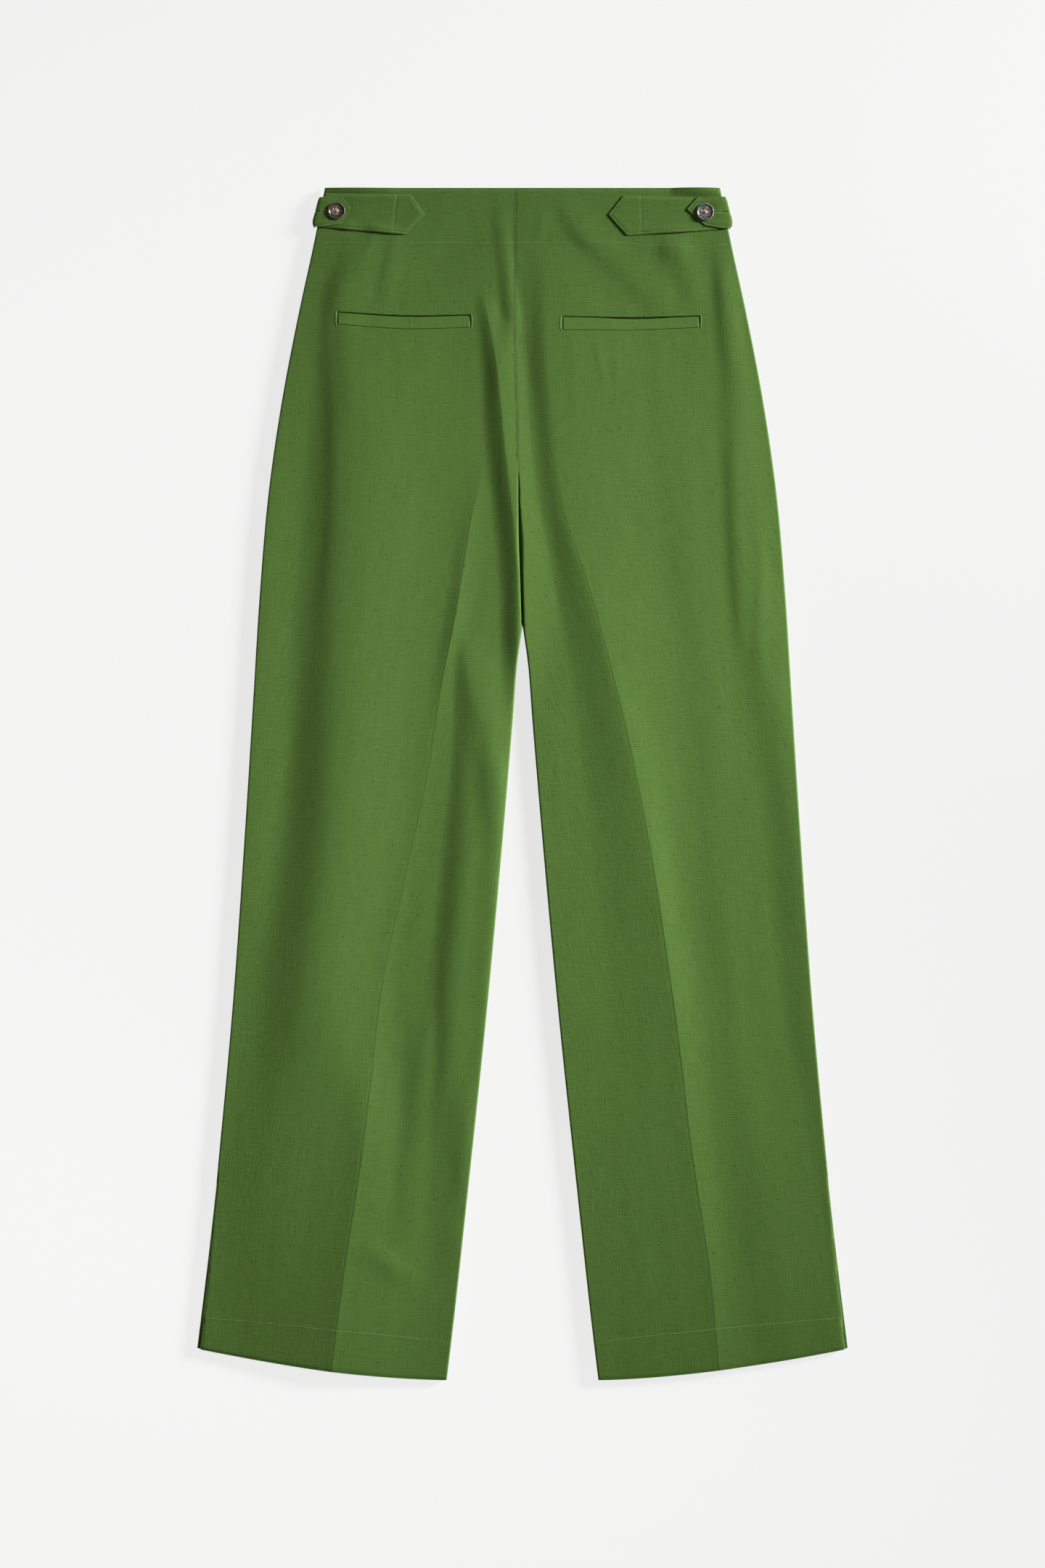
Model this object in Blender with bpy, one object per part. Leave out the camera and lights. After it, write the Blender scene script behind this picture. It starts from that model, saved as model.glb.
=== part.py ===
"""Wide-leg trousers laid flat on a surface with the back uppermost.

Metres, +Z up. The waist points to +Y and the wearer's left side is at -X. The origin is in the middle of the
underside. Each panel is a cloth wall: the two front panels lie flat on the surface, and the two back panels
lie over them, joined to them along the side seams and inseams, with the folds of a garment put down by hand.
"""

import math
from collections import namedtuple

import bmesh
import bpy
import numpy as np
from mathutils import Matrix, Vector
from mathutils.bvhtree import BVHTree

# Driving dimensions.
WAIST_Y = 0.550  # waist edge of the back
FORK_Y = 0.147  # where the centre back seam meets the inseams
HEM_Y = -0.550  # lowest point of the hem, beside the inseam
WALL = 0.0012  # cloth thickness
GAP = 0.0003  # clearance between pieces that are sewn together
LAY = 0.0005  # clearance under a flat-faced strip that lies on a curved panel
SEATING = WALL + GAP  # height at which a back panel's edge meets the front panel under it
LOFT = 0.0046  # height of the air between front and back away from the folds

# Edges of the laid garment.
EDGE_ROLL = 0.0065  # width over which a back panel turns down to its seam
FORK_ROLL = 0.0090  # more of it at the fork, where four seams meet
FORK_REACH = 0.050  # how far down the inseam that extra width reaches
FRONT_INSET = 0.0006  # front seam edges lie this far inside the outline
FRONT_DROP = 0.004  # front waist edge below the back one at the side seams
FRONT_DIP = 0.012  # and at the centre front
HEM_RISE = 0.029  # the hem's height at the side seam over its height at the inseam
HEM_POWER = 1.6
HEM_BLEND = 0.20  # stretch above the hem over which the rows of a panel straighten

# Grid of one back panel.
LEG_ROWS = 21
SEAT_ROWS = 12
INNER_COLUMNS = 7
OUTER_COLUMNS = 9
ROLL_STEPS = (0.0, 0.134, 0.43, 1.0)  # shares of the edge roll that carry a column

CREASE_REACH = 0.016  # half width of the pressed crease

# Adjusters at the waist.
STRAP_STEPS = 6
TAB_STEPS = 3
ACROSS = 4
TAB_FOOT = 0.0008  # height of the tab's sewn end over the surface
TURN_ANGLES = (30, 60, 90, 120, 150)  # degrees round that turn

BUTTON_RADIUS = 0.008
BUTTON_HEIGHT = 0.0030
BUTTON_RIM = 0.0016
BUTTON_DISH = 0.0008
BUTTON_SIDES = 32
THREAD_HOLE_RADIUS = 0.0008
THREAD_HOLE_OFFSET = 0.00155

WELT_STEPS = 12

Edge = namedtuple("Edge", "y x")
SIDE_SEAM = (
    Edge(-0.550, 0.3010),
    Edge(-0.450, 0.2906),
    Edge(-0.350, 0.2810),
    Edge(-0.208, 0.2680),
    Edge(-0.047, 0.2566),
    Edge(0.087, 0.2482),
    Edge(0.168, 0.2432),
    Edge(0.275, 0.2338),
    Edge(0.355, 0.2220),
    Edge(0.436, 0.2064),
    Edge(0.500, 0.1925),
    Edge(0.550, 0.1825),
)
INSEAM = (
    Edge(-0.550, 0.0700),
    Edge(-0.517, 0.0660),
    Edge(-0.368, 0.0496),
    Edge(-0.208, 0.0328),
    Edge(-0.047, 0.0180),
    Edge(0.060, 0.0090),
    Edge(0.114, 0.0047),
    Edge(FORK_Y, 0.0),
)
CENTRE_BACK = (
    Edge(FORK_Y, 0.0),
    Edge(0.261, -0.0034),
    Edge(0.318, -0.0047),
    Edge(0.402, -0.0067),
    Edge(0.550, -0.0060),
)

Crease = namedtuple("Crease", "y x height")
LEFT_CREASE = (
    Crease(-0.550, -0.1775, 0.0009),
    Crease(-0.299, -0.1430, 0.0009),
    Crease(-0.155, -0.1270, 0.0007),
    Crease(-0.033, -0.0995, 0.0005),
    Crease(0.089, -0.0740, 0.0004),
    Crease(0.161, -0.0620, 0.0004),
    Crease(0.247, -0.0460, 0.0003),
    Crease(0.320, -0.0360, 0.0),
    Crease(0.550, -0.0500, 0.0),
)
RIGHT_CREASE = (
    Crease(-0.550, 0.1822, 0.0008),
    Crease(-0.371, 0.1630, 0.0009),
    Crease(-0.213, 0.1450, 0.0009),
    Crease(-0.119, 0.1300, 0.0007),
    Crease(-0.012, 0.1090, 0.0005),
    Crease(0.103, 0.0840, 0.0004),
    Crease(0.189, 0.0585, 0.0004),
    Crease(0.247, 0.0370, 0.0003),
    Crease(0.326, 0.0210, 0.0),
    Crease(0.550, 0.0350, 0.0),
)

# A fold is a ridge that runs up the garment. Across it, the cloth lifts from its foot to its crest and is
# let down again to its heel.
Fold = namedtuple("Fold", "y foot crest heel height")
LEFT_LEG_FOLD = (
    Fold(-0.550, -0.298, -0.174, -0.072, 0.0042),
    Fold(-0.348, -0.281, -0.152, -0.112, 0.0040),
    Fold(-0.188, -0.262, -0.188, -0.098, 0.0060),
    Fold(-0.027, -0.228, -0.169, -0.078, 0.0068),
    Fold(0.134, -0.218, -0.153, -0.074, 0.0056),
    Fold(0.295, -0.204, -0.144, -0.050, 0.0044),
    Fold(0.375, -0.194, -0.144, -0.046, 0.0036),
    Fold(0.442, -0.190, -0.161, -0.054, 0.0016),
    Fold(0.500, -0.188, -0.161, -0.060, 0.0),
)
LEFT_INSEAM_FOLD = (
    Fold(-0.348, -0.124, -0.086, -0.056, 0.0004),
    Fold(-0.268, -0.110, -0.062, -0.040, 0.0018),
    Fold(-0.107, -0.085, -0.037, -0.024, 0.0044),
    Fold(-0.027, -0.078, -0.027, -0.016, 0.0048),
    Fold(0.054, -0.072, -0.038, -0.010, 0.0036),
    Fold(0.134, -0.075, -0.054, -0.027, 0.0020),
    Fold(0.214, -0.070, -0.050, -0.030, 0.0),
)
SEAT_FOLD = (
    Fold(0.060, -0.030, -0.010, 0.030, 0.0),
    Fold(0.134, -0.027, -0.004, 0.038, 0.0050),
    Fold(0.214, -0.033, -0.005, 0.028, 0.0066),
    Fold(0.295, -0.047, -0.011, 0.015, 0.0056),
    Fold(0.375, -0.044, -0.017, 0.013, 0.0036),
    Fold(0.469, -0.025, -0.010, 0.013, 0.0012),
    Fold(0.530, -0.025, -0.010, 0.013, 0.0),
)
RIGHT_LEG_FOLD = (
    Fold(-0.550, 0.070, 0.182, 0.300, 0.0030),
    Fold(-0.348, 0.064, 0.159, 0.261, 0.0036),
    Fold(-0.188, 0.070, 0.134, 0.231, 0.0046),
    Fold(-0.027, 0.057, 0.105, 0.194, 0.0044),
    Fold(0.134, 0.040, 0.079, 0.154, 0.0056),
    Fold(0.214, 0.030, 0.062, 0.157, 0.0062),
    Fold(0.295, 0.017, 0.047, 0.164, 0.0058),
    Fold(0.375, 0.010, 0.030, 0.161, 0.0050),
    Fold(0.442, 0.010, 0.020, 0.080, 0.0016),
    Fold(0.500, 0.010, 0.020, 0.080, 0.0),
)
RIGHT_SIDE_FOLD = (
    Fold(-0.268, 0.246, 0.262, 0.272, 0.0006),
    Fold(-0.147, 0.226, 0.249, 0.262, 0.0026),
    Fold(-0.067, 0.214, 0.244, 0.257, 0.0034),
    Fold(0.094, 0.171, 0.227, 0.246, 0.0028),
    Fold(0.255, 0.182, 0.208, 0.235, 0.0014),
    Fold(0.442, 0.178, 0.192, 0.203, 0.0010),
    Fold(0.500, 0.178, 0.192, 0.203, 0.0),
)
FOLDS = (LEFT_LEG_FOLD, LEFT_INSEAM_FOLD, SEAT_FOLD, RIGHT_LEG_FOLD, RIGHT_SIDE_FOLD)

# Stations along a strip of cloth, each a line across it. The middle stands ahead of both edges at a point.
Station = namedtuple("Station", "x_top y_top x_middle y_middle x_bottom y_bottom")
LEFT_STRAP = (
    Station(-0.1765, 0.5450, -0.1780, 0.5290, -0.1800, 0.5138),
    Station(-0.1030, 0.5440, -0.0965, 0.5255, -0.1085, 0.5070),
    Station(-0.1030, 0.5440, -0.0905, 0.5255, -0.1085, 0.5070),
)
RIGHT_STRAP = (
    Station(0.1770, 0.5408, 0.1785, 0.5265, 0.1800, 0.5115),
    Station(0.0930, 0.5427, 0.0855, 0.5255, 0.0965, 0.5060),
    Station(0.0930, 0.5427, 0.0790, 0.5255, 0.0965, 0.5060),
)
LEFT_TAB = (
    Station(-0.1790, 0.5412, -0.1810, 0.5280, -0.1840, 0.5140),
    Station(-0.1662, 0.5412, -0.1588, 0.5310, -0.1688, 0.5160),
)
RIGHT_TAB = (
    Station(0.1790, 0.5416, 0.1810, 0.5280, 0.1840, 0.5125),
    Station(0.1615, 0.5416, 0.1514, 0.5300, 0.1688, 0.5150),
)
TAB_FOLD = (Edge(0.5120, 0.1938), Edge(0.5280, 0.1917), Edge(0.5420, 0.1883))

Pocket = namedtuple("Pocket", "x y_top y_bottom")
LEFT_WELT = (
    Pocket(-0.1705, 0.4348, 0.4240),
    Pocket(-0.1095, 0.4310, 0.4200),
    Pocket(-0.0485, 0.4322, 0.4214),
)
RIGHT_WELT = (
    Pocket(0.0370, 0.4308, 0.4190),
    Pocket(0.1000, 0.4295, 0.4188),
    Pocket(0.1630, 0.4315, 0.4214),
)

LEFT_BUTTON = Vector((-0.1715, 0.5285))
RIGHT_BUTTON = Vector((0.1685, 0.5275))

LINEN_GREEN = (0.085, 0.162, 0.036, 1.0)
HORN_BROWN = (0.055, 0.046, 0.038, 1.0)


def column(rows, name, place, along="y"):
    """The named column of a table at each place along its rows, on a smooth curve through them."""
    places = np.array([getattr(row, along) for row in rows])
    values = np.array([getattr(row, name) for row in rows])
    slopes = np.gradient(values, places)
    place = np.clip(place, places[0], places[-1])
    at = np.clip(np.searchsorted(places, place, side="right") - 1, 0, len(rows) - 2)
    span = places[at + 1] - places[at]
    t = (place - places[at]) / span
    rise = t * t * (3 - 2 * t)
    near = t * (1 - t) ** 2
    far = t * t * (t - 1)
    return (
        values[at] * (1 - rise)
        + values[at + 1] * rise
        + span * (near * slopes[at] + far * slopes[at + 1])
    )


def row_y(x, level):
    """The y of a panel's row at x: the lowest row follows the hem, and those above it straighten out."""
    inner = INSEAM[0].x
    share = np.clip((np.abs(x) - inner) / (SIDE_SEAM[0].x - inner), 0, 1)
    blend = np.clip((HEM_Y + HEM_BLEND - level) / HEM_BLEND, 0, 1)
    return level + HEM_RISE * share**HEM_POWER * blend


def fold_height(rows, x, y):
    """Height that one fold adds at the points."""
    foot = column(rows, "foot", y)
    crest = column(rows, "crest", y)
    heel = column(rows, "heel", y)
    share = np.where(x < crest, (x - foot) / (crest - foot), (heel - x) / (heel - crest))
    bump = 0.5 * (1 - np.cos(math.pi * np.clip(share, 0, 1)))
    within = (y >= rows[0].y) & (y <= rows[-1].y)
    return np.where(within, bump * np.maximum(column(rows, "height", y), 0), 0)


def crease_height(rows, x, y):
    """Height that a pressed crease adds at the points: a low tent along its line."""
    share = 1 - np.abs(x - column(rows, "x", y)) / CREASE_REACH
    return np.clip(share, 0, 1) * np.maximum(column(rows, "height", y), 0)


def edge_drop(distance, width):
    """Share of the full height at this distance inside an edge: the quarter of an ellipse."""
    share = np.clip(distance / width, 0, 1)
    return np.sqrt(np.maximum(1 - (1 - share) ** 2, 0))


def inner_roll(y):
    return EDGE_ROLL + FORK_ROLL * np.exp(-np.abs(y - FORK_Y) / FORK_REACH)


def air_height(x, y):
    """Height of a back panel's inner face over the level at which its edges meet the front."""
    height = LOFT + sum(fold_height(rows, x, y) for rows in FOLDS)
    height = height + crease_height(LEFT_CREASE, x, y) + crease_height(RIGHT_CREASE, x, y)
    from_side = column(SIDE_SEAM, "x", y) - WALL - np.abs(x)
    from_inseam = np.abs(x) - column(INSEAM, "x", y) - WALL
    from_fork = np.hypot(x, y - FORK_Y)
    from_inner = np.where(y < FORK_Y, from_inseam, from_fork)
    return height * edge_drop(from_side, EDGE_ROLL) * edge_drop(from_inner, inner_roll(y))


def panel_rows():
    leg = np.linspace(HEM_Y, FORK_Y, LEG_ROWS + 1)
    seat = np.linspace(FORK_Y, WAIST_Y, SEAT_ROWS + 1)
    return np.concatenate([leg, seat[1:]])


def panel_columns(side, y):
    """The x of each column of a back panel at height y, from its inner edge to its side seam."""
    if y < FORK_Y:
        inner = side * (column(INSEAM, "x", y) + WALL)
    else:
        inner = column(CENTRE_BACK, "x", y) + side * GAP / 2
    outer = side * (column(SIDE_SEAM, "x", y) - WALL)
    crease = column(LEFT_CREASE if side < 0 else RIGHT_CREASE, "x", y)
    steps = np.array(ROLL_STEPS)
    near = inner + side * steps * inner_roll(y)
    far = outer - side * steps[::-1] * EDGE_ROLL
    middle = np.linspace(near[-1], crease, INNER_COLUMNS + 1)[1:]
    rest = np.linspace(crease, far[0], OUTER_COLUMNS + 1)[1:-1]
    return np.concatenate([near, middle, rest, far])


def panel_grid(side):
    """Points of a back panel's inner face, in rows from the hem to the waist."""
    rows = []
    for level in panel_rows():
        x = panel_columns(side, level)
        rows.append(np.stack([x, row_y(x, level), SEATING + air_height(x, level)], axis=1))
    return np.array(rows)


def grid_normals(grid):
    """Unit normals of a grid of points, on the side that mostly faces up."""
    along = np.gradient(grid, axis=0)
    across = np.gradient(grid, axis=1)
    normals = np.cross(along, across)
    normals /= np.linalg.norm(normals, axis=2, keepdims=True)
    return normals * np.sign(normals[..., 2].sum())


def panel_faces_out(grid, side):
    """A back panel's outer face. At the centre back it is moved straight up, so that the seam stays closed."""
    normals = grid_normals(grid)
    seam = grid[:, 0, 1] >= FORK_Y
    upright = normals[seam, 0]
    upright[:, 0] = 0
    upright /= np.linalg.norm(upright, axis=1, keepdims=True)
    normals[seam, 0] = upright
    return grid + normals * WALL


def new_material(name, colour, roughness):
    material = bpy.data.materials.new(name)
    material.use_nodes = True
    shader = material.node_tree.nodes["Principled BSDF"]
    shader.inputs["Base Color"].default_value = colour
    shader.inputs["Roughness"].default_value = roughness
    shader.inputs["Metallic"].default_value = 0.0
    return material


def link_object(name, mesh, material):
    mesh.materials.append(material)
    piece = bpy.data.objects.new(name, mesh)
    bpy.context.scene.collection.objects.link(piece)
    return piece


def object_from_bmesh(name, shape, material):
    bmesh.ops.recalc_face_normals(shape, faces=shape.faces)
    mesh = bpy.data.meshes.new(name)
    shape.to_mesh(mesh)
    shape.free()
    return link_object(name, mesh, material)


def shell_between(name, lower, upper, material):
    """A closed cloth wall between two grids of points of the same size."""
    rows, columns = lower.shape[:2]
    shape = bmesh.new()
    layers = [[[shape.verts.new(p) for p in row] for row in grid] for grid in (lower, upper)]
    for layer in layers:
        for i in range(rows - 1):
            for j in range(columns - 1):
                shape.faces.new((layer[i][j], layer[i + 1][j], layer[i + 1][j + 1], layer[i][j + 1]))
    rim = [(0, j) for j in range(columns)]
    rim += [(i, columns - 1) for i in range(1, rows)]
    rim += [(rows - 1, j) for j in range(columns - 2, -1, -1)]
    rim += [(i, 0) for i in range(rows - 2, 0, -1)]
    for (i, j), (k, m) in zip(rim, rim[1:] + rim[:1]):
        shape.faces.new((layers[0][i][j], layers[0][k][m], layers[1][k][m], layers[1][i][j]))
    piece = object_from_bmesh(name, shape, material)
    piece.data.shade_smooth()
    piece.data.set_sharp_from_angle(angle=math.radians(50))
    return piece


def back_panel(name, side, material):
    inner = panel_grid(side)
    outer = panel_faces_out(inner, side)
    return shell_between(name, inner, outer, material)


def front_panel(name, side, material):
    """A front panel, flat on the surface: down the side seam, along the hem, up the inseam and centre front."""
    levels = panel_rows()
    down = levels[::-1]
    inside = levels[levels <= FORK_Y]
    side_x = column(SIDE_SEAM, "x", down) - FRONT_INSET
    inner_x = np.maximum(column(INSEAM, "x", inside) + FRONT_INSET, GAP / 2)
    hem_x = np.linspace(side_x[-1], inner_x[0], OUTER_COLUMNS)[1:-1]
    outline = list(zip(side_x[1:], row_y(side_x[1:], down[1:])))
    outline += list(zip(hem_x, row_y(hem_x, HEM_Y)))
    outline += list(zip(inner_x, row_y(inner_x, inside)))
    outline.append((GAP / 2, WAIST_Y - FRONT_DIP))
    outline.append((side_x[0], WAIST_Y - FRONT_DROP))
    shape = bmesh.new()
    base = shape.faces.new([shape.verts.new((side * x, y, 0)) for x, y in outline])
    top = bmesh.ops.extrude_face_region(shape, geom=[base])
    raised = [v for v in top["geom"] if isinstance(v, bmesh.types.BMVert)]
    bmesh.ops.translate(shape, verts=raised, vec=(0, 0, WALL))
    return object_from_bmesh(name, shape, material)


class Support:
    """The upper faces of pieces that others rest on."""

    def __init__(self, pieces):
        self.trees = []
        for piece in pieces:
            points = [v.co for v in piece.data.vertices]
            faces = [tuple(p.vertices) for p in piece.data.polygons]
            self.trees.append(BVHTree.FromPolygons(points, faces))

    def height(self, x, y):
        """Highest z under the point, or None off the pieces."""
        start = Vector((x, y, 0.1))
        hits = [tree.ray_cast(start, Vector((0, 0, -1)))[0] for tree in self.trees]
        heights = [hit.z for hit in hits if hit is not None]
        return max(heights) if heights else None


def between(first, second, steps):
    """Rows from one station to the next, the second one left out."""
    return [first + (second - first) * step / steps for step in range(steps)]


def strip_grid(stations, steps):
    """Points in plan along a strip: a row for each step between its stations, each bottom edge to top edge."""
    lines = []
    for row in stations:
        bottom = np.array((row.x_bottom, row.y_bottom))
        middle = np.array((row.x_middle, row.y_middle))
        top = np.array((row.x_top, row.y_top))
        half = ACROSS // 2
        lines.append(np.array(between(bottom, middle, half) + between(middle, top, half) + [top]))
    plan = []
    for first, second, count in zip(lines, lines[1:], steps):
        plan += between(first, second, count)
    return np.array(plan + [lines[-1]])


def rest_on(plan, support, clearance):
    """Lifts points in plan to lie over the pieces under them."""
    grid = np.zeros(plan.shape[:2] + (3,))
    grid[..., :2] = plan
    for i, j in np.ndindex(plan.shape[:2]):
        grid[i, j, 2] = support.height(*plan[i, j]) + clearance
    return grid


def laid_strip(name, plan, support, material):
    lower = rest_on(plan, support, LAY)
    upper = lower + np.array((0, 0, WALL))
    return shell_between(name, lower, upper, material)


def adjuster_tab(name, side, stations, support, material):
    """A short tab from the side seam: it turns out and up round the garment's side and lies on the strap."""
    plan = strip_grid(stations, (TAB_STEPS,))
    flat = rest_on(plan, support, 2 * (LAY + WALL))
    y = flat[0, :, 1]
    start = np.abs(flat[0, :, 0])
    fold = column(TAB_FOLD, "x", y)
    seam = column(SIDE_SEAM, "x", y) + GAP + WALL
    middle = (flat[0, :, 2] + TAB_FOOT) / 2
    rows = []
    for angle in map(math.radians, reversed(TURN_ANGLES)):
        upper = start + (fold - start) * math.sin(angle)
        lower = seam + (fold - seam) * math.sin(angle)
        x = side * (upper if angle < math.pi / 2 else lower)
        z = middle + (flat[0, :, 2] - middle) * math.cos(angle)
        rows.append(np.stack([x, y, z], axis=1))
    outer = np.concatenate([np.array(rows), flat])
    return shell_between(name, outer - grid_normals(outer) * WALL, outer, material)


def thread_hole_cutter(name, placing):
    shape = bmesh.new()
    for i, j in ((1, 1), (1, -1), (-1, 1), (-1, -1)):
        move = Matrix.Translation((i * THREAD_HOLE_OFFSET, j * THREAD_HOLE_OFFSET, 0))
        bmesh.ops.create_cone(
            shape,
            cap_ends=True,
            segments=10,
            radius1=THREAD_HOLE_RADIUS,
            radius2=THREAD_HOLE_RADIUS,
            depth=3 * BUTTON_HEIGHT,
            matrix=placing @ move,
        )
    mesh = bpy.data.meshes.new(name)
    shape.to_mesh(mesh)
    shape.free()
    cutter = bpy.data.objects.new(name, mesh)
    bpy.context.scene.collection.objects.link(cutter)
    cutter.hide_render = True
    cutter.display_type = "WIRE"
    return cutter


def button(name, place, support, material):
    """A turned four-hole button with a raised rim, lying on the tab."""
    radius = BUTTON_RADIUS
    rim = BUTTON_RIM
    profile = (
        (0.62 * radius, 0.0),
        (0.90 * radius, 0.12 * BUTTON_HEIGHT),
        (radius, 0.45 * BUTTON_HEIGHT),
        (0.97 * radius, 0.80 * BUTTON_HEIGHT),
        (radius - rim / 2, BUTTON_HEIGHT),
        (radius - rim, 0.88 * BUTTON_HEIGHT),
        (radius - 1.5 * rim, BUTTON_HEIGHT - BUTTON_DISH),
    )
    reach = radius * 0.7
    around = [(0, 0), (reach, 0), (-reach, 0), (0, reach), (0, -reach)]
    heights = [support.height(place.x + dx, place.y + dy) for dx, dy in around]
    placing = Matrix.Translation((place.x, place.y, max(h for h in heights if h is not None) + GAP))
    shape = bmesh.new()
    rings = []
    for ring_radius, height in profile:
        ring = []
        for step in range(BUTTON_SIDES):
            angle = 2 * math.pi * step / BUTTON_SIDES
            point = Vector((ring_radius * math.cos(angle), ring_radius * math.sin(angle), height))
            ring.append(shape.verts.new(placing @ point))
        rings.append(ring)
    for lower, upper in zip(rings, rings[1:]):
        for step in range(BUTTON_SIDES):
            after = (step + 1) % BUTTON_SIDES
            shape.faces.new((lower[step], lower[after], upper[after], upper[step]))
    shape.faces.new(reversed(rings[0]))
    shape.faces.new(rings[-1])
    piece = object_from_bmesh(name, shape, material)
    piece.data.shade_smooth()
    piece.data.set_sharp_from_angle(angle=math.radians(50))
    holes = piece.modifiers.new("thread_holes", "BOOLEAN")
    holes.operation = "DIFFERENCE"
    holes.object = thread_hole_cutter(name + "_holes", placing)
    return piece


def welt_plan(rows):
    """Points in plan along a pocket's welt, each bottom edge to top edge."""
    x = np.linspace(rows[0].x, rows[-1].x, WELT_STEPS + 1)
    top = column(rows, "y_top", x, along="x")
    bottom = column(rows, "y_bottom", x, along="x")
    return np.stack([np.stack([x, bottom], axis=1), np.stack([x, top], axis=1)], axis=1)


def main():
    for obj in list(bpy.data.objects):
        bpy.data.objects.remove(obj)
    linen = {name: new_material(name, LINEN_GREEN, 0.85) for name in ("back", "front", "trim")}
    horn = new_material("horn_button", HORN_BROWN, 0.35)
    sides = (
        ("left", -1, LEFT_STRAP, LEFT_TAB, LEFT_WELT, LEFT_BUTTON),
        ("right", 1, RIGHT_STRAP, RIGHT_TAB, RIGHT_WELT, RIGHT_BUTTON),
    )
    for word, side, strap_rows, tab_rows, welt_rows, place in sides:
        front_panel("front_" + word, side, linen["front"])
        back = back_panel("back_" + word, side, linen["back"])
        laid_strip("pocket_welt_" + word, welt_plan(welt_rows), Support([back]), linen["trim"])
        strap_plan = strip_grid(strap_rows, (STRAP_STEPS, 1))
        laid_strip("adjuster_strap_" + word, strap_plan, Support([back]), linen["trim"])
        tab = adjuster_tab("adjuster_tab_" + word, side, tab_rows, Support([back]), linen["trim"])
        button("button_" + word, place, Support([tab]), horn)


main()
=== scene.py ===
"""Wide-leg trousers laid flat with the back uppermost: their looks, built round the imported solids.

Metres, +Z up, in the solids' own frame: the waist points to +Y and the wearer's left side is at -X. Every
cloth piece is a thin shell on the form of its solid, with the pressed creases, folds and puckers of a garment
that was put down by hand.
"""

import logging
import math
from collections.abc import Sequence
from dataclasses import dataclass, field
from enum import Enum
from functools import partial
from typing import ClassVar, NamedTuple

import bpy
import numpy as np
from bpy.types import Material, Node, NodeSocket, Object, World
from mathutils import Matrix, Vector
from mathutils.bvhtree import BVHTree
from mathutils.geometry import delaunay_2d_cdt


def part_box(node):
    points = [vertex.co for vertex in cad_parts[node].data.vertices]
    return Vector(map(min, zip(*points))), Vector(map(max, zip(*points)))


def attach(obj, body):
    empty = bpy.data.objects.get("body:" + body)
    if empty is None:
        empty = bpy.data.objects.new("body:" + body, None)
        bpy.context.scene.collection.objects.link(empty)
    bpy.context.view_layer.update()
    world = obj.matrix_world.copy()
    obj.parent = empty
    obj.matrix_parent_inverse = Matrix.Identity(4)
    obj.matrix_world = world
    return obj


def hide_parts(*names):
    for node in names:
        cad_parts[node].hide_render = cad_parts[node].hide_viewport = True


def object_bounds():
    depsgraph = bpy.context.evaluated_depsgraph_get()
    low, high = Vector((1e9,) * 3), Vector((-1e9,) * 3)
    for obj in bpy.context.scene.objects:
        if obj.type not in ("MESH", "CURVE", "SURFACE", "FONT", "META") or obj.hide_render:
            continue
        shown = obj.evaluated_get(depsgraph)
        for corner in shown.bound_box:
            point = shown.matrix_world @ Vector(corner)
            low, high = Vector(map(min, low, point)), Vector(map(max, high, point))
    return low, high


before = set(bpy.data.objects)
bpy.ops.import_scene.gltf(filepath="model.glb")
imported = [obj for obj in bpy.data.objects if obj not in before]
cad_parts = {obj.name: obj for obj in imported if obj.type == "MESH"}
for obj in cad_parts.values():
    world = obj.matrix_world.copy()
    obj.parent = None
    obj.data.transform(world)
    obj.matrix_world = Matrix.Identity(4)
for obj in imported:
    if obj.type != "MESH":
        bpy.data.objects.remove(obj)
cad_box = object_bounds()

LOG = logging.getLogger("trousers")
BODY = "root"

WALL = 0.0012  # cloth thickness, folded edges and facings taken together
GAP = 0.0003  # clearance between pieces that are sewn together
LAY = 0.0004  # clearance under a strip that lies on a curved panel
CLOTH = 0.0008  # thickness of a panel
STRIP_WALL = 0.0009  # thickness of a strap, tab or welt where it is pressed flat
BUTTON_SINK = 0.0018  # how far a button is drawn down into the cloth by its thread
SEATING = WALL + GAP  # height at which a back panel's edge meets the front panel under it
SHARP_DEGREES = 50  # edges with more of a turn than this stay sharp in shading


class Side(Enum):
    """The wearer's side, valued by the sign of its x."""

    LEFT = -1
    RIGHT = 1

    @property
    def word(self) -> str:
        """The side's name in lower case."""
        return self.name.lower()


class Axis(Enum):
    """The direction in which a fold runs."""

    LENGTH = "y"
    WIDTH = "x"


class Slot(Enum):
    """The record's material slots."""

    BACK = "back_cloth"
    FRONT = "front_cloth"
    TRIM = "trim_cloth"
    BUTTON = "horn_button"


class Course:
    """A short table of named columns, read as smooth curves between its rows.

    The first column says where each row stands, and it goes up from row to row.
    """

    def __init__(self, names: str, *rows: tuple[float, ...]) -> None:
        """Name the columns and fill in the rows."""
        self.names = names.split()
        self.rows = rows
        self.places = self.column(self.names[0])

    def column(self, name: str) -> np.ndarray:
        """The numbers of the named column."""
        return np.array([row[self.names.index(name)] for row in self.rows])

    def at(self, name: str, place: np.ndarray) -> np.ndarray:
        """Read a column between the rows.

        Args:
            name: The column.
            place: Where to read it, held to the table's own range.

        Returns:
            The column's smooth value at each place.
        """
        places = self.places
        values = self.column(name)
        slopes = np.gradient(values, places)
        place = np.clip(place, places[0], places[-1])
        row = np.clip(np.searchsorted(places, place, side="right") - 1, 0, len(places) - 2)
        span = places[row + 1] - places[row]
        t = (place - places[row]) / span
        rise = t * t * (3 - 2 * t)
        near = t * (1 - t) ** 2
        far = t * t * (t - 1)
        bend = span * (near * slopes[row] + far * slopes[row + 1])
        return values[row] * (1 - rise) + values[row + 1] * rise + bend

    def covers(self, place: np.ndarray) -> np.ndarray:
        """Whether each place is in the table's range."""
        return (place >= self.places[0]) & (place <= self.places[-1])


# ----------------------------------------
# The form of the laid garment
# ----------------------------------------


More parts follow.
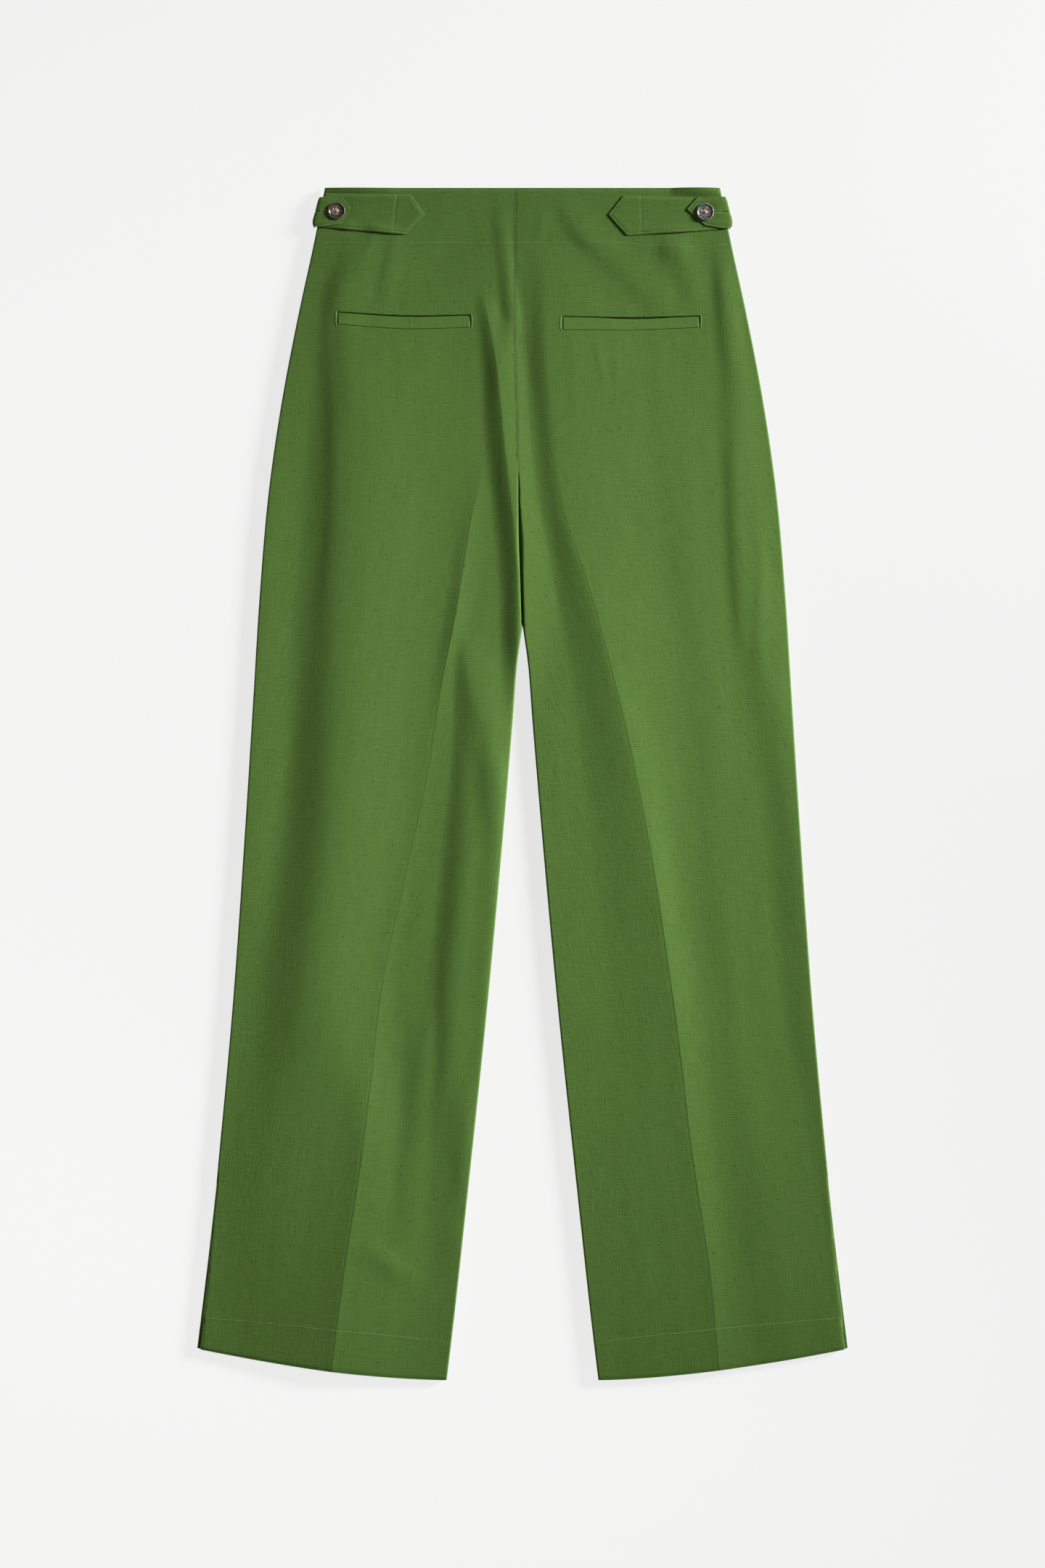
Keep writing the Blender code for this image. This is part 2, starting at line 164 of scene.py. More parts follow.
def bell(distance: np.ndarray, width: np.ndarray | float) -> np.ndarray:
    """1 on a line, fading on both sides of it within about two widths."""
    return np.exp(-((distance / width) ** 2))


def edge_drop(distance: np.ndarray, width: np.ndarray | float, power: float = 2.0) -> np.ndarray:
    """Turn cloth down to an edge along the quarter of an ellipse.

    Args:
        distance: Distance inside the edge.
        width: Distance over which the cloth turns down.
        power: 2 for an ellipse, more for a squarer turn.

    Returns:
        The share of the full height at each distance.
    """
    share = np.clip(distance / width, 0, 1)
    return np.maximum(1 - (1 - share) ** power, 0) ** (1 / power)


@dataclass(frozen=True)
class Outline:
    """The garment's edges in plan, and the rows of cloth between its hems and its waist."""

    waist_y: float = 0.550
    fork_y: float = 0.147
    hem_y: float = -0.550
    hem_rise: float = 0.029  # the hem at the side seam over the hem at the inseam
    hem_power: float = 1.6
    turning: float = 0.034  # depth of the hem turned up inside
    turning_ease: float = 0.8  # how much straighter the row along its stitching is
    hem_blend: float = 0.20  # stretch above the hem over which the rows straighten
    edge_roll: float = 0.0003  # width over which a back panel turns down to its seam
    side_seam: Course = Course(
        "y x",
        (-0.55, 0.301),
        (-0.45, 0.2906),
        (-0.35, 0.281),
        (-0.208, 0.268),
        (-0.047, 0.2566),
        (0.087, 0.2482),
        (0.168, 0.2432),
        (0.275, 0.2338),
        (0.355, 0.222),
        (0.436, 0.2064),
        (0.5, 0.1925),
        (0.55, 0.1825),
    )
    inseam: Course = Course(
        "y x",
        (-0.55, 0.07),
        (-0.517, 0.066),
        (-0.368, 0.0496),
        (-0.208, 0.0328),
        (-0.047, 0.018),
        (0.06, 0.009),
        (0.114, 0.0047),
        (0.147, 0.0),
    )
    centre_back: Course = Course(
        "y x", (0.147, 0.0), (0.261, -0.0034), (0.318, -0.0047), (0.402, -0.0067), (0.55, -0.006)
    )

    def row_y(self, x: np.ndarray, level: np.ndarray | float) -> np.ndarray:
        """Follow one row of cloth across a leg.

        Args:
            x: Where to read the row.
            level: The row's y at the inseam.

        Returns:
            The row's y: the lowest row follows the hem, and those above it straighten out.
        """
        inner = self.inseam.rows[0][1]
        outer = self.side_seam.rows[0][1]
        share = np.clip((np.abs(x) - inner) / (outer - inner), 0, 1)
        blend = np.clip((self.hem_y + self.hem_blend - level) / self.hem_blend, 0, 1)
        ease = self.turning_ease * np.clip((level - self.hem_y) / self.turning, 0, 1)
        return level + self.hem_rise * share ** (self.hem_power - ease) * blend

    def inner_x(self, side: Side, y: float) -> float:
        """The x of a back panel's inner edge at height y: the inseam, then the centre back seam."""
        if y < self.fork_y:
            return side.value * (float(self.inseam.at("x", y)) + CLOTH)
        return float(self.centre_back.at("x", y)) + side.value * GAP / 2

    def outer_x(self, side: Side, y: float) -> float:
        """The x of a back panel's side seam edge at height y."""
        return side.value * (float(self.side_seam.at("x", y)) - CLOTH)


@dataclass(frozen=True)
class Ridge:
    """A fold that lifts the cloth from its foot to its crest and lets it down again to its heel.

    Both shares are 0 for a soft fold: crest_edge is up to 1 for a crest pressed to an edge, and foot_edge for
    a foot that starts with one.
    """

    course: Course
    crest_edge: float = 0.0
    foot_edge: float = 0.0
    axis: Axis = Axis.LENGTH

    @classmethod
    def of(cls, *rows: tuple[float, ...], **form: object) -> "Ridge":
        """Make a fold from rows of places along it, with its foot, crest, heel and height at each."""
        return cls(Course("along foot crest heel height", *rows), **form)

    def height(self, x: np.ndarray, y: np.ndarray) -> np.ndarray:
        """Find the height that the fold adds.

        Args:
            x: Places across the garment.
            y: Places along it.

        Returns:
            The height at each place.
        """
        across, along = (x, y) if self.axis is Axis.LENGTH else (y, x)
        foot = self.course.at("foot", along)
        crest = self.course.at("crest", along)
        heel = self.course.at("heel", along)
        climbing = across < crest
        share = np.where(climbing, (across - foot) / (crest - foot), (heel - across) / (heel - crest))
        share = np.clip(share, 0, 1)
        foot_edge = np.where(climbing, self.foot_edge, 0)
        soft = 0.5 * (1 - np.cos(math.pi * share)) * (1 - self.crest_edge - foot_edge)
        bump = soft + share**2 * self.crest_edge + (2 * share - share**2) * foot_edge
        return np.where(self.course.covers(along), bump * self.course.at("height", along), 0)


@dataclass(frozen=True)
class PressedCrease:
    """The crease ironed down the middle of a leg: a low tent along its line, pinched in just beside it."""

    course: Course
    reach: float = 0.009
    pinch_place: float = -0.0010
    pinch_width: float = 0.0009
    pinch_share: float = 0.22

    def x(self, y: np.ndarray) -> np.ndarray:
        """The crease's x at height y."""
        return self.course.at("x", y)

    def height(self, x: np.ndarray, y: np.ndarray) -> np.ndarray:
        """Find the height that the crease adds.

        Args:
            x: Places across the garment.
            y: Places along it.

        Returns:
            The height at each place.
        """
        away = x - self.x(y)
        tent = np.exp(-np.abs(away) / self.reach)
        pinch = bell(away - self.pinch_place, self.pinch_width)
        return (tent - self.pinch_share * pinch) * np.maximum(self.course.at("height", y), 0)


class Pucker(NamedTuple):
    """A short crease or dent: its middle, which way it runs, its half length, half width and height."""

    x: float
    y: float
    degrees: float
    length: float
    width: float
    height: float

    def lift(self, x: np.ndarray, y: np.ndarray) -> np.ndarray:
        """Find the height that it adds.

        Args:
            x: Places across the garment.
            y: Places along it.

        Returns:
            The height at each place.
        """
        turn = math.radians(self.degrees)
        along = (x - self.x) * math.cos(turn) + (y - self.y) * math.sin(turn)
        across = (y - self.y) * math.cos(turn) - (x - self.x) * math.sin(turn)
        return self.height * np.exp(-((along / self.length) ** 2) - (across / self.width) ** 2)


@dataclass(frozen=True)
class Unevenness:
    """The waviness that cloth keeps after pressing: faint waves across the leg, each fading along it."""

    seed: int
    waves: int = 30
    shortest: float = 0.006
    longest: float = 0.050
    slope: float = 0.0020
    run: float = 0.16  # length along the leg over which a wave swells and fades
    run_spread: tuple[float, float] = (0.6, 1.6)
    run_turn: float = 6.3  # range of the places where it starts, in radians
    lean: float = 0.11  # how far the leg, and with it the waves, leans outwards
    lean_reach: float = 0.05  # distance from the middle over which it comes to that
    lean_spread: float = 0.03

    def height(self, x: np.ndarray, y: np.ndarray) -> np.ndarray:
        """Find the height of the waviness.

        Args:
            x: Places across the garment.
            y: Places along it.

        Returns:
            The height at each place.
        """
        chance = np.random.default_rng(self.seed)
        total = np.zeros(np.broadcast(x, y).shape)
        for _ in range(self.waves):
            length = math.exp(chance.uniform(math.log(self.shortest), math.log(self.longest)))
            # The waves follow the leg, which leans outwards, so they run the way that its threads do.
            lean = np.tanh(x / self.lean_reach) * self.lean + chance.normal(0.0, self.lean_spread)
            phase = chance.uniform(0, 2 * math.pi)
            run = self.run * chance.uniform(*self.run_spread)
            swell = np.sin(y * 2 * math.pi / run + chance.uniform(0, self.run_turn))
            across = (x + y * lean) * 2 * math.pi / length
            total = total + self.slope * length / (2 * math.pi) * np.sin(across + phase) * (0.5 + 0.5 * swell)
        return total


LEFT_CREASE = PressedCrease(
    Course(
        "y x height",
        (-0.55, -0.1775, 0.0008),
        (-0.44, -0.163, 0.0009),
        (-0.37, -0.152, 0.0009),
        (-0.29, -0.1415, 0.0008),
        (-0.19, -0.13, 0.0006),
        (-0.085, -0.108, 0.0005),
        (0.005, -0.0885, 0.0006),
        (0.095, -0.074, 0.0006),
        (0.165, -0.06, 0.0006),
        (0.24, -0.048, 0.0004),
        (0.3, -0.0365, 0.0),
        (0.55, -0.048, 0.0),
    )
)
RIGHT_CREASE = PressedCrease(
    Course(
        "y x height",
        (-0.55, 0.1822, 0.0007),
        (-0.45, 0.173, 0.0007),
        (-0.345, 0.1572, 0.0008),
        (-0.24, 0.1445, 0.0008),
        (-0.14, 0.1305, 0.0007),
        (-0.06, 0.118, 0.0005),
        (0.02, 0.1025, 0.0005),
        (0.1, 0.084, 0.0005),
        (0.16, 0.068, 0.0005),
        (0.205, 0.054, 0.0004),
        (0.25, 0.039, 0.0),
        (0.55, 0.035, 0.0),
    )
)

# The broad folds, which are those of the solids.
LEFT_LEG_FOLD = Ridge.of(
    (-0.55, -0.298, -0.176, -0.072, 0.0044),
    (-0.44, -0.29, -0.164, -0.078, 0.0044),
    (-0.34, -0.282, -0.152, -0.096, 0.0038),
    (-0.188, -0.26, -0.186, -0.108, 0.0044),
    (-0.027, -0.226, -0.174, -0.092, 0.0045),
    (0.134, -0.214, -0.162, -0.076, 0.0038),
    (0.295, -0.202, -0.154, -0.06, 0.0033),
    (0.375, -0.194, -0.152, -0.05, 0.0028),
    (0.442, -0.19, -0.161, -0.054, 0.0014),
    (0.5, -0.188, -0.161, -0.06, 0.0),
)
LEFT_INSEAM_FOLD = Ridge.of(
    (-0.4, -0.12, -0.066, -0.044, 0.0),
    (-0.33, -0.112, -0.052, -0.03, 0.001),
    (-0.24, -0.098, -0.042, -0.022, 0.0021),
    (-0.18, -0.089, -0.036, -0.018, 0.0028),
    (-0.12, -0.081, -0.03, -0.012, 0.0032),
    (-0.06, -0.076, -0.026, -0.01, 0.0033),
    (0.0, -0.068, -0.024, -0.002, 0.0033),
    (0.04, -0.064, -0.032, 0.003, 0.0033),
    (0.08, -0.063, -0.043, 0.002, 0.0028),
    (0.11, -0.0625, -0.049, -0.004, 0.0016),
    (0.14, -0.062, -0.05, -0.022, 0.0),
    foot_edge=0.45,
)
SEAT_FOLD = Ridge.of(
    (0.06, -0.022, -0.008, 0.026, 0.0),
    (0.1, -0.021, -0.006, 0.03, 0.002),
    (0.14, -0.022, -0.0048, 0.036, 0.0036),
    (0.18, -0.0235, -0.0045, 0.036, 0.0038),
    (0.22, -0.026, -0.006, 0.032, 0.0041),
    (0.26, -0.03, -0.01, 0.028, 0.0041),
    (0.3, -0.035, -0.015, 0.023, 0.004),
    (0.34, -0.038, -0.019, 0.018, 0.0037),
    (0.38, -0.04, -0.023, 0.01, 0.0034),
    (0.412, -0.043, -0.028, -0.002, 0.0024),
    (0.436, -0.045, -0.033, -0.016, 0.0014),
    (0.458, -0.046, -0.037, -0.024, 0.0),
    crest_edge=0.45,
)
RIGHT_LEG_FOLD = Ridge.of(
    (-0.55, 0.068, 0.182, 0.3, 0.0009),
    (-0.44, 0.064, 0.171, 0.284, 0.0011),
    (-0.34, 0.062, 0.157, 0.25, 0.0015),
    (-0.24, 0.078, 0.145, 0.22, 0.002),
    (-0.14, 0.072, 0.131, 0.2, 0.0025),
    (-0.04, 0.062, 0.114, 0.18, 0.0032),
    (0.06, 0.05, 0.094, 0.16, 0.0036),
    (0.12, 0.041, 0.078, 0.148, 0.0034),
    (0.2, 0.026, 0.055, 0.138, 0.0032),
    (0.26, 0.014, 0.038, 0.14, 0.003),
    (0.34, 0.006, 0.027, 0.152, 0.0028),
    (0.39, 0.004, 0.0235, 0.15, 0.0026),
    (0.43, 0.003, 0.0225, 0.12, 0.0018),
    (0.47, -0.001, 0.022, 0.08, 0.001),
    (0.5, -0.002, 0.018, 0.06, 0.0),
    crest_edge=0.1,
    foot_edge=0.3,
)
RIGHT_SIDE_FOLD = Ridge.of(
    (-0.48, 0.282, 0.3, 0.312, 0.0),
    (-0.42, 0.276, 0.296, 0.308, 0.0004),
    (-0.34, 0.262, 0.284, 0.296, 0.0008),
    (-0.27, 0.25, 0.276, 0.288, 0.0013),
    (-0.22, 0.24, 0.271, 0.284, 0.0018),
    (-0.16, 0.232, 0.266, 0.28, 0.0022),
    (-0.1, 0.226, 0.261, 0.274, 0.0025),
    (-0.04, 0.22, 0.257, 0.27, 0.0025),
    (0.04, 0.206, 0.245, 0.272, 0.0018),
    (0.12, 0.19, 0.222, 0.262, 0.0014),
    (0.2, 0.184, 0.207, 0.248, 0.0014),
    (0.28, 0.18, 0.2, 0.236, 0.0013),
    (0.36, 0.179, 0.197, 0.222, 0.0011),
    (0.42, 0.175, 0.19, 0.209, 0.0016),
    (0.46, 0.173, 0.186, 0.203, 0.0015),
    (0.5, 0.171, 0.182, 0.196, 0.0),
)

# The narrower folds pressed into them.
LEFT_SIDE_FOLD = Ridge.of(
    (-0.5, -0.296, -0.24, -0.195, 0.0),
    (-0.4, -0.284, -0.238, -0.18, 0.0009),
    (-0.3, -0.268, -0.222, -0.16, 0.0013),
    (-0.18, -0.246, -0.198, -0.135, 0.0011),
    (-0.08, -0.224, -0.182, -0.12, 0.0006),
    (0.02, -0.214, -0.18, -0.115, 0.0004),
    (0.1, -0.206, -0.174, -0.105, 0.0003),
    (0.18, -0.196, -0.168, -0.1, 0.0003),
    (0.26, -0.189, -0.167, -0.105, 0.0004),
    (0.34, -0.188, -0.168, -0.11, 0.0008),
    (0.385, -0.192, -0.174, -0.125, 0.001),
    (0.425, -0.19, -0.176, -0.135, 0.001),
    (0.46, -0.184, -0.166, -0.128, 0.0015),
    (0.48, -0.178, -0.153, -0.118, 0.0014),
    (0.508, -0.166, -0.142, -0.112, 0.0),
    foot_edge=0.15,
)
LEFT_SIDE_TROUGH = Ridge.of(
    (-0.3, -0.275, -0.245, -0.21, 0.0),
    (-0.2, -0.267, -0.232, -0.2, -0.0006),
    (-0.1, -0.259, -0.222, -0.18, -0.001),
    (-0.01, -0.253, -0.217, -0.176, -0.0012),
    (0.1, -0.247, -0.212, -0.172, -0.0012),
    (0.22, -0.239, -0.204, -0.166, -0.0011),
    (0.3, -0.23, -0.2, -0.174, -0.0008),
    (0.4, -0.214, -0.196, -0.178, 0.0),
)
LEFT_SIDE_LINE = Ridge.of(
    (0.12, -0.194, -0.184, -0.168, 0.0),
    (0.18, -0.19, -0.18, -0.166, 0.0003),
    (0.26, -0.184, -0.175, -0.162, 0.0003),
    (0.34, -0.184, -0.174, -0.16, 0.0003),
    (0.38, -0.186, -0.176, -0.164, 0.0),
)
LEFT_LOWER_FOLD = Ridge.of(
    (-0.55, -0.232, -0.177, -0.1, 0.001),
    (-0.45, -0.216, -0.1645, -0.095, 0.001),
    (-0.35, -0.196, -0.1495, -0.1, 0.0006),
    (-0.25, -0.18, -0.137, -0.105, 0.0),
    crest_edge=0.8,
)
LEFT_STRAP_DIP = Ridge.of(
    (0.44, -0.139, -0.129, -0.112, 0.0),
    (0.462, -0.137, -0.126, -0.108, 0.0005),
    (0.49, -0.13, -0.12, -0.102, 0.0007),
    (0.512, -0.126, -0.117, -0.1, 0.0),
)
LEFT_CENTRE_FOLD = Ridge.of(
    (0.372, -0.033, -0.014, 0.002, 0.0),
    (0.404, -0.028, -0.012, 0.002, 0.0009),
    (0.43, -0.023, -0.01, 0.001, 0.0014),
    (0.46, -0.024, -0.0125, -0.003, 0.0011),
    (0.5, -0.029, -0.0165, -0.007, 0.0007),
    (0.546, -0.036, -0.02, -0.008, 0.0),
)
LEFT_CREASE_FOLD = Ridge.of(
    (0.05, -0.092, -0.082, -0.066, 0.0),
    (0.105, -0.082, -0.072, -0.056, 0.0006),
    (0.15, -0.075, -0.063, -0.046, 0.0012),
    (0.19, -0.07, -0.0565, -0.038, 0.001),
    (0.24, -0.062, -0.048, -0.032, 0.0006),
    (0.3, -0.052, -0.0365, -0.026, 0.0),
    crest_edge=0.8,
)
INSEAM_CORE_FOLD = Ridge.of(
    (-0.345, -0.092, -0.078, -0.06, 0.0),
    (-0.29, -0.088, -0.072, -0.05, 0.0007),
    (-0.24, -0.085, -0.068, -0.044, 0.0013),
    (-0.18, -0.084, -0.066, -0.042, 0.0015),
    (-0.11, -0.079, -0.06, -0.038, 0.0015),
    (-0.05, -0.073, -0.055, -0.034, 0.0013),
    (0.02, -0.067, -0.053, -0.036, 0.0007),
    (0.07, -0.065, -0.052, -0.038, 0.0),
)
INSEAM_SPOT_FOLD = Ridge.of(
    (-0.06, -0.046, -0.026, -0.01, 0.0),
    (-0.022, -0.047, -0.026, -0.008, 0.001),
    (0.01, -0.049, -0.028, -0.006, 0.001),
    (0.044, -0.054, -0.034, -0.012, 0.0),
)
INSEAM_EDGE_FOLD = Ridge.of(
    (-0.455, -0.084, -0.062, -0.048, 0.0),
    (-0.425, -0.083, -0.062, -0.046, 0.0006),
    (-0.396, -0.078, -0.06, -0.046, 0.0003),
    (-0.365, -0.07, -0.0555, -0.042, 0.0008),
    (-0.335, -0.074, -0.053, -0.04, 0.0011),
    (-0.3, -0.075, -0.052, -0.038, 0.001),
    (-0.262, -0.07, -0.05, -0.036, 0.0),
    crest_edge=0.2,
)
SHIN_FOLD = Ridge.of(
    (-0.455, -0.126, -0.104, -0.082, 0.0),
    (-0.405, -0.125, -0.104, -0.082, 0.0007),
    (-0.36, -0.123, -0.102, -0.08, 0.0012),
    (-0.3, -0.117, -0.098, -0.078, 0.001),
    (-0.25, -0.113, -0.092, -0.076, 0.0009),
    (-0.19, -0.112, -0.09, -0.074, 0.0),
)
RIGHT_CREASE_TROUGH = Ridge.of(
    (-0.55, 0.1822, 0.212, 0.25, -0.0007),
    (-0.47, 0.175, 0.2, 0.244, -0.0009),
    (-0.36, 0.1595, 0.184, 0.228, -0.0016),
    (-0.3, 0.1515, 0.175, 0.214, -0.0014),
    (-0.225, 0.1425, 0.168, 0.206, -0.0014),
    (-0.18, 0.1365, 0.161, 0.202, -0.0021),
    (-0.11, 0.1265, 0.149, 0.192, -0.0022),
    (-0.04, 0.1145, 0.139, 0.184, -0.0019),
    (0.04, 0.0985, 0.126, 0.174, -0.0013),
    (0.11, 0.0815, 0.104, 0.146, -0.0004),
    (0.15, 0.0715, 0.088, 0.12, 0.0),
    foot_edge=0.4,
)
SEAT_DIAGONAL = Ridge.of(
    (0.428, 0.112, 0.126, 0.155, 0.0),
    (0.446, 0.1, 0.12, 0.154, 0.0006),
    (0.465, 0.078, 0.102, 0.144, 0.0006),
    (0.485, 0.056, 0.081, 0.122, 0.0007),
    (0.503, 0.041, 0.058, 0.095, 0.0013),
    (0.524, 0.028, 0.046, 0.078, 0.0007),
    (0.546, 0.022, 0.035, 0.052, 0.0),
)
STRAP_REST_FOLD = Ridge.of(
    (0.432, 0.146, 0.159, 0.172, 0.0),
    (0.46, 0.138, 0.156, 0.172, 0.0005),
    (0.482, 0.124, 0.147, 0.17, 0.0006),
    (0.498, 0.12, 0.138, 0.164, 0.0005),
    (0.51, 0.12, 0.136, 0.158, 0.0),
)
RIGHT_SIDE_LINE = Ridge.of(
    (0.12, 0.192, 0.203, 0.214, 0.0),
    (0.16, 0.19, 0.2, 0.212, 0.0004),
    (0.22, 0.187, 0.196, 0.207, 0.0004),
    (0.28, 0.184, 0.194, 0.206, 0.0003),
    (0.34, 0.182, 0.193, 0.206, 0.0),
)
RIGHT_SIDE_STREAK = Ridge.of(
    (0.085, 0.214, 0.223, 0.234, 0.0),
    (0.125, 0.21, 0.219, 0.23, 0.0003),
    (0.16, 0.211, 0.2195, 0.229, 0.0003),
    (0.2, 0.213, 0.22, 0.229, 0.0003),
    (0.245, 0.209, 0.215, 0.225, 0.0),
)
RIGHT_THIGH_FOLD = Ridge.of(
    (-0.02, 0.166, 0.186, 0.204, 0.0),
    (0.06, 0.158, 0.18, 0.2, 0.0004),
    (0.15, 0.143, 0.166, 0.192, 0.0004),
    (0.25, 0.126, 0.148, 0.182, 0.0004),
    (0.34, 0.117, 0.134, 0.17, 0.0003),
    (0.42, 0.114, 0.128, 0.16, 0.0),
)

# Short wrinkles: under the straps, at the pocket mouths and low on the left leg.
PUCKERS = (
    Pucker(-0.068, 0.488, 40, 0.05, 0.018, -0.0011),
    Pucker(-0.123, -0.443, -36, 0.024, 0.011, 0.0013),
    Pucker(-0.16, 0.4935, 2, 0.013, 0.0022, 0.0002),
    Pucker(-0.168, 0.503, -6, 0.014, 0.003, 0.0002),
    Pucker(-0.14, 0.5, 62, 0.016, 0.004, 0.0004),
    Pucker(0.017, 0.514, 60, 0.01, 0.005, 0.0005),
    Pucker(0.0465, 0.398, -75, 0.015, 0.0028, 0.0002),
    Pucker(0.0715, 0.39, -80, 0.018, 0.0028, 0.0003),
    Pucker(0.095, 0.403, -82, 0.01, 0.0024, 0.0002),
    Pucker(0.087, 0.385, -88, 0.02, 0.003, 0.0002),
    Pucker(0.068, 0.437, -70, 0.005, 0.0018, 0.0002),
    Pucker(0.096, 0.437, -70, 0.005, 0.0018, 0.0002),
    Pucker(-0.106, 0.403, 60, 0.01, 0.0022, 0.0001),
    Pucker(0.13, 0.493, 80, 0.008, 0.0024, 0.0001),
    Pucker(0.146, 0.493, 74, 0.009, 0.0032, 0.0002),
    Pucker(0.141, 0.4935, 0, 0.016, 0.011, 0.0014),
    Pucker(-0.1713, 0.5296, 0, 0.009, 0.009, -0.0012),
    Pucker(0.1686, 0.5276, 0, 0.009, 0.009, -0.0012),
)

# Over the straps the waist's edge is pulled up off the strip under it.
LEFT_WAIST_LIFT = Ridge.of(
    (-0.184, 0.5445, 0.551, 0.556, 0.001),
    (-0.18, 0.5445, 0.551, 0.556, 0.0019),
    (-0.129, 0.544, 0.551, 0.556, 0.0019),
    (-0.112, 0.544, 0.551, 0.556, 0.0),
    crest_edge=0.5,
    foot_edge=0.5,
    axis=Axis.WIDTH,
)
RIGHT_WAIST_LIFT = Ridge.of(
    (0.137, 0.542, 0.551, 0.556, 0.0),
    (0.144, 0.542, 0.551, 0.556, 0.0024),
    (0.176, 0.542, 0.551, 0.556, 0.0026),
    (0.181, 0.542, 0.551, 0.556, 0.001),
    crest_edge=0.5,
    foot_edge=0.5,
    axis=Axis.WIDTH,
)

# The welts of the back pockets, and the line of cloth that overhangs each mouth.
WELTS = {
    Side.LEFT: Course(
        "x y_top y_bottom y_mouth",
        (-0.1705, 0.4348, 0.424, 0.4353),
        (-0.1095, 0.431, 0.42, 0.432),
        (-0.0485, 0.4322, 0.4214, 0.4328),
    ),
    Side.RIGHT: Course(
        "x y_top y_bottom y_mouth",
        (0.037, 0.4308, 0.419, 0.4313),
        (0.08, 0.4296, 0.4188, 0.4305),
        (0.1, 0.428, 0.4188, 0.4303),
        (0.122, 0.4294, 0.4195, 0.4307),
        (0.163, 0.4315, 0.4214, 0.432),
    ),
}


